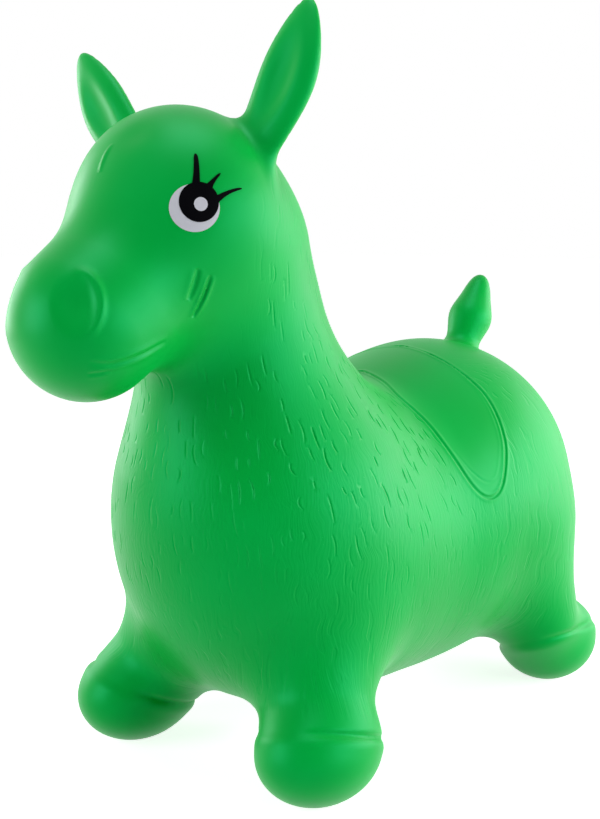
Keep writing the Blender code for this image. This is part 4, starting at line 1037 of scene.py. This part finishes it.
def lash_patch(start, way_deg, bend_deg, length, widths, rows=14, columns=4):
    """A tapering stroke: a middle line that bends evenly, with its width falling along it."""
    t = np.linspace(0.0, 1.0, rows)
    angle = np.radians(way_deg + bend_deg * (t - 0.3))
    step = np.stack((np.cos(angle), np.sin(angle)), axis=1) * length / (rows - 1)
    line = vec(start) + np.vstack((np.zeros(2), np.cumsum(step[:-1], axis=0)))
    side = np.stack((-np.sin(angle), np.cos(angle)), axis=1)
    width = (widths[1] + (widths[0] - widths[1]) * (1 - t) ** 2.4) * np.sqrt(1.0 - 0.9 * t ** 8)
    across = np.linspace(-0.5, 0.5, columns)
    spread = across[None, :, None] * width[:, None, None] * side[:, None]
    flat = (line[:, None] + spread).reshape(-1, 2)
    a = (np.arange(rows - 1)[:, None] * columns + np.arange(columns - 1)).ravel()
    quads = np.stack((a, a + columns, a + columns + 1, a + 1), axis=1)
    return flat, quads.ravel(), np.full(len(quads), 4)


def joined(patches):
    """Several patches as one, with the point numbers of each moved up past those before it."""
    flats, loops, sizes = zip(*patches)
    shifts = np.cumsum([0] + [len(flat) for flat in flats[:-1]])
    moved = [ring + shift for ring, shift in zip(loops, shifts)]
    return np.vstack(flats), np.concatenate(moved), np.concatenate(sizes)


EYE_TURN_DEG, EYE_RISE_DEG = 54.0, 2.0
# Centres and radii of the rounds, and the height of each coat over the skin
WHITE, WHITE_RADII, WHITE_LIFT = (0.0, 0.0), (0.0158, 0.0148), 0.00015
PUPIL, PUPIL_RADII, PUPIL_LIFT = (0.0028, 0.0036), (0.0124, 0.0124), 0.00030
GLINT, GLINT_RADII, GLINT_LIFT = (0.0037, 0.0021), (0.0042, 0.0042), 0.00045
# Each lash with its start, its way and bend in degrees, its length and its two widths
LASHES = (((0.0012, 0.0140), 86.0, 10.0, 0.0225, (0.0052, 0.0034)),
          ((0.0084, 0.0115), 52.0, -16.0, 0.0142, (0.0056, 0.0018)),
          ((0.0130, 0.0045), 28.0, -26.0, 0.0220, (0.0048, 0.0019)))


def paint_piece(name, patch, eye, sign, lift, material, node):
    """One coat of paint as a piece on the head. The right eye is mirrored, so its rings of point
    numbers are read backwards, which keeps its faces turned outwards."""
    flat, rim, counts = patch
    if sign < 0:
        rim, counts = rim[::-1], counts[::-1]
    placed = laid_on(flat, eye, lift)
    obj = piece(name, placed, rim, counts, material, facing(horse, placed))
    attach(obj, "head")
    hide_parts(node)
    return obj


for side, sign in SIDES.items():
    eye = eye_place(sign)
    white = round_patch(WHITE, WHITE_RADII, 10, 64)
    lashes = [lash_patch(*lash) for lash in LASHES]
    black = joined([round_patch(PUPIL, PUPIL_RADII, 8, 64), *lashes])
    glint = round_patch(GLINT, GLINT_RADII, 5, 40)
    for name, node, patch, lift, material, slot in (
            ("_eye_round", "_eye_white", white, WHITE_LIFT, EYE_WHITE, "eye_white"),
            ("_eye_black", "_eye_pupil", black, PUPIL_LIFT, EYE_BLACK, "eye_black"),
            ("_eye_shine", "_eye_glint", glint, GLINT_LIFT, EYE_WHITE, "eye_white")):
        paint_piece(side + name, patch, eye, sign, lift, material, side + node)
print("eyes at", np.round(eye[0], 4))

# %% [markdown]
# ## The air valve
#
# A seat ring is moulded into the skin under the belly, and a plug with a flat head is pushed into
# it. Both are turned shapes.

# %% Valve
def valve_piece(name, profile, body, node, turns=48):
    """A turned part with small rounded edges: pairs of radius and height carried round an upright
    line, each a radius times cosine and sine. Points that meet on the line are joined."""
    radius, height = vec(profile).T
    angle = np.arange(turns) * math.tau / turns
    rings = np.stack((radius[:, None] * np.cos(angle), radius[:, None] * np.sin(angle),
                      np.repeat(height[:, None], turns, axis=1)), axis=2)
    quads = ring_quads(len(profile), turns)[:, ::-1]
    places = rings.reshape(-1, 3) + UNDER
    obj = piece(name, places, quads.ravel(), np.full(len(quads), 4), VALVE)
    obj.modifiers.new("closed", "WELD").merge_threshold = WELD_REACH
    rounded = obj.modifiers.new("rounded", "BEVEL")
    rounded.width, rounded.segments, rounded.limit_method = EDGE_RADIUS, 2, "ANGLE"
    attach(obj, body)
    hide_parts(node)


WELD_REACH, EDGE_RADIUS = 0.00001, 0.00025
UNDER = vec((0.0, BELLY[1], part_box("valve_seat")[0][2]))
SEAT_PROFILE = ((0.0040, 0.0), (0.0090, 0.0), (0.0090, 0.0032), (0.0130, 0.0032), (0.0130, 0.0052),
                (0.0090, 0.0052), (0.0078, 0.0120), (0.0040, 0.0120), (0.0040, 0.0))
PLUG_PROFILE = ((0.0, -0.0023), (0.0070, -0.0023), (0.0075, -0.0018), (0.0075, -0.0003),
                (0.0037, -0.0003), (0.0037, 0.0120), (0.0025, 0.0150), (0.0, 0.0150))
valve_piece("valve_ring", SEAT_PROFILE, "trunk", "valve_seat")
valve_piece("valve_stopper", PLUG_PROFILE, "valve_plug", "valve_plug")
print("valve under the belly at", np.round(UNDER, 4))

# %% [markdown]
# ## Floor, light and background
#
# The toy stands on a white floor in soft light: wide lamps at both sides, a little above its
# middle, and one overhead. None stands in front, so chest and face stay deep green. Floor and
# world show white to the camera and to mirrored rays, so a satin skin goes pale where it turns
# away. For all other rays the world is nearly dark.

# %% Floor and world
def shows_background(tree):
    """One for rays from the camera, a mirror or through glass, else zero: the largest of three."""
    path = add(tree, "LightPath").outputs
    shown = path["Is Camera Ray"]
    for name in ("Is Glossy Ray", "Is Transmission Ray"):
        shown = add(tree, "Math", {0: shown, 1: path[name]}, operation="MAXIMUM").outputs[0]
    return shown


def white_floor():
    """A wide plane whose paper gives the camera extra white, so that only the shadow shows on it.
    The extra grows to full white away from the toy, where the lamps' light fades."""
    corners = [(x * FLOOR_HALF, y * FLOOR_HALF, 0) for x, y in ((-1, -1), (1, -1), (1, 1), (-1, 1))]
    mesh = bpy.data.meshes.new("floor")
    mesh.from_pydata(corners, [], [(0, 1, 2, 3)])
    floor = put("floor", mesh)
    floor.location = (0.0, 0.0, -FLOOR_GAP)
    material = bpy.data.materials.new("floor_paper")
    material.use_nodes = True
    tree = material.node_tree
    place = add(tree, "TexCoord").outputs["Object"]
    reach = add(tree, "VectorMath", {0: place}, operation="LENGTH").outputs["Value"]
    fade = add(tree, "MapRange", {
        "Value": reach, "From Min": FLOOR_FADE[0], "From Max": FLOOR_FADE[1],
        "To Min": FLOOR_LIFT, "To Max": 1.0}, interpolation_type="SMOOTHSTEP").outputs["Result"]
    lift = add(tree, "Math", {0: fade, 1: shows_background(tree)}, operation="MULTIPLY").outputs[0]
    feed(tree, tree.nodes["Principled BSDF"], {
        "Base Color": (0.80, 0.80, 0.80, 1.0), "Roughness": 0.9, "Specular IOR Level": 0.0,
        "Emission Color": (1.0, 1.0, 1.0, 1.0), "Emission Strength": lift})
    mesh.materials.append(material)


def white_world():
    """White where the background shows and nearly dark for every other ray."""
    world = bpy.data.worlds.new("studio")
    bpy.context.scene.world = world
    world.use_nodes = True
    tree = world.node_tree
    strength = add(tree, "MapRange", {"Value": shows_background(tree), "To Min": ROOM_LIGHT,
                                      "To Max": 1.0}).outputs["Result"]
    feed(tree, tree.nodes["Background"], {"Color": (1.0, 1.0, 1.0, 1.0), "Strength": strength})


def soft_lamp(name, around, above, watts):
    """A square lamp on a circle round the toy, its angles counted from the camera's side."""
    light = bpy.data.lights.new(name, "AREA")
    light.shape, light.size, light.energy = "SQUARE", LAMP_SIZE, watts
    lamp = put(name, light)
    way = Vector(direction(VIEW_AROUND + math.radians(around), math.radians(above)))
    lamp.location = Vector(LAMP_AIM) + LAMP_DISTANCE * way
    lamp.rotation_euler = (-way).to_track_quat("-Z", "Y").to_euler()
    lamp.visible_camera = False


FLOOR_HALF, FLOOR_GAP = 12.0, 0.0004
FLOOR_LIFT, FLOOR_FADE, ROOM_LIGHT = 0.82, (0.35, 1.3), 0.02
LAMP_SIZE, LAMP_DISTANCE, LAMP_AIM = 0.8, 1.45, (0.0, 0.0, 0.24)
# Each lamp with its two angles from the camera's side and its power in watts
LAMPS = (("right_front", 58, 10, 8.5), ("right_side", 92, 8, 10.5), ("right_rear", 122, 10, 4.5),
         ("left_rear", -122, 12, 7.5), ("left_front", -60, 12, 9.0), ("overhead", 0, 82, 8.0))
white_floor()
white_world()
for lamp in LAMPS:
    soft_lamp(*lamp)
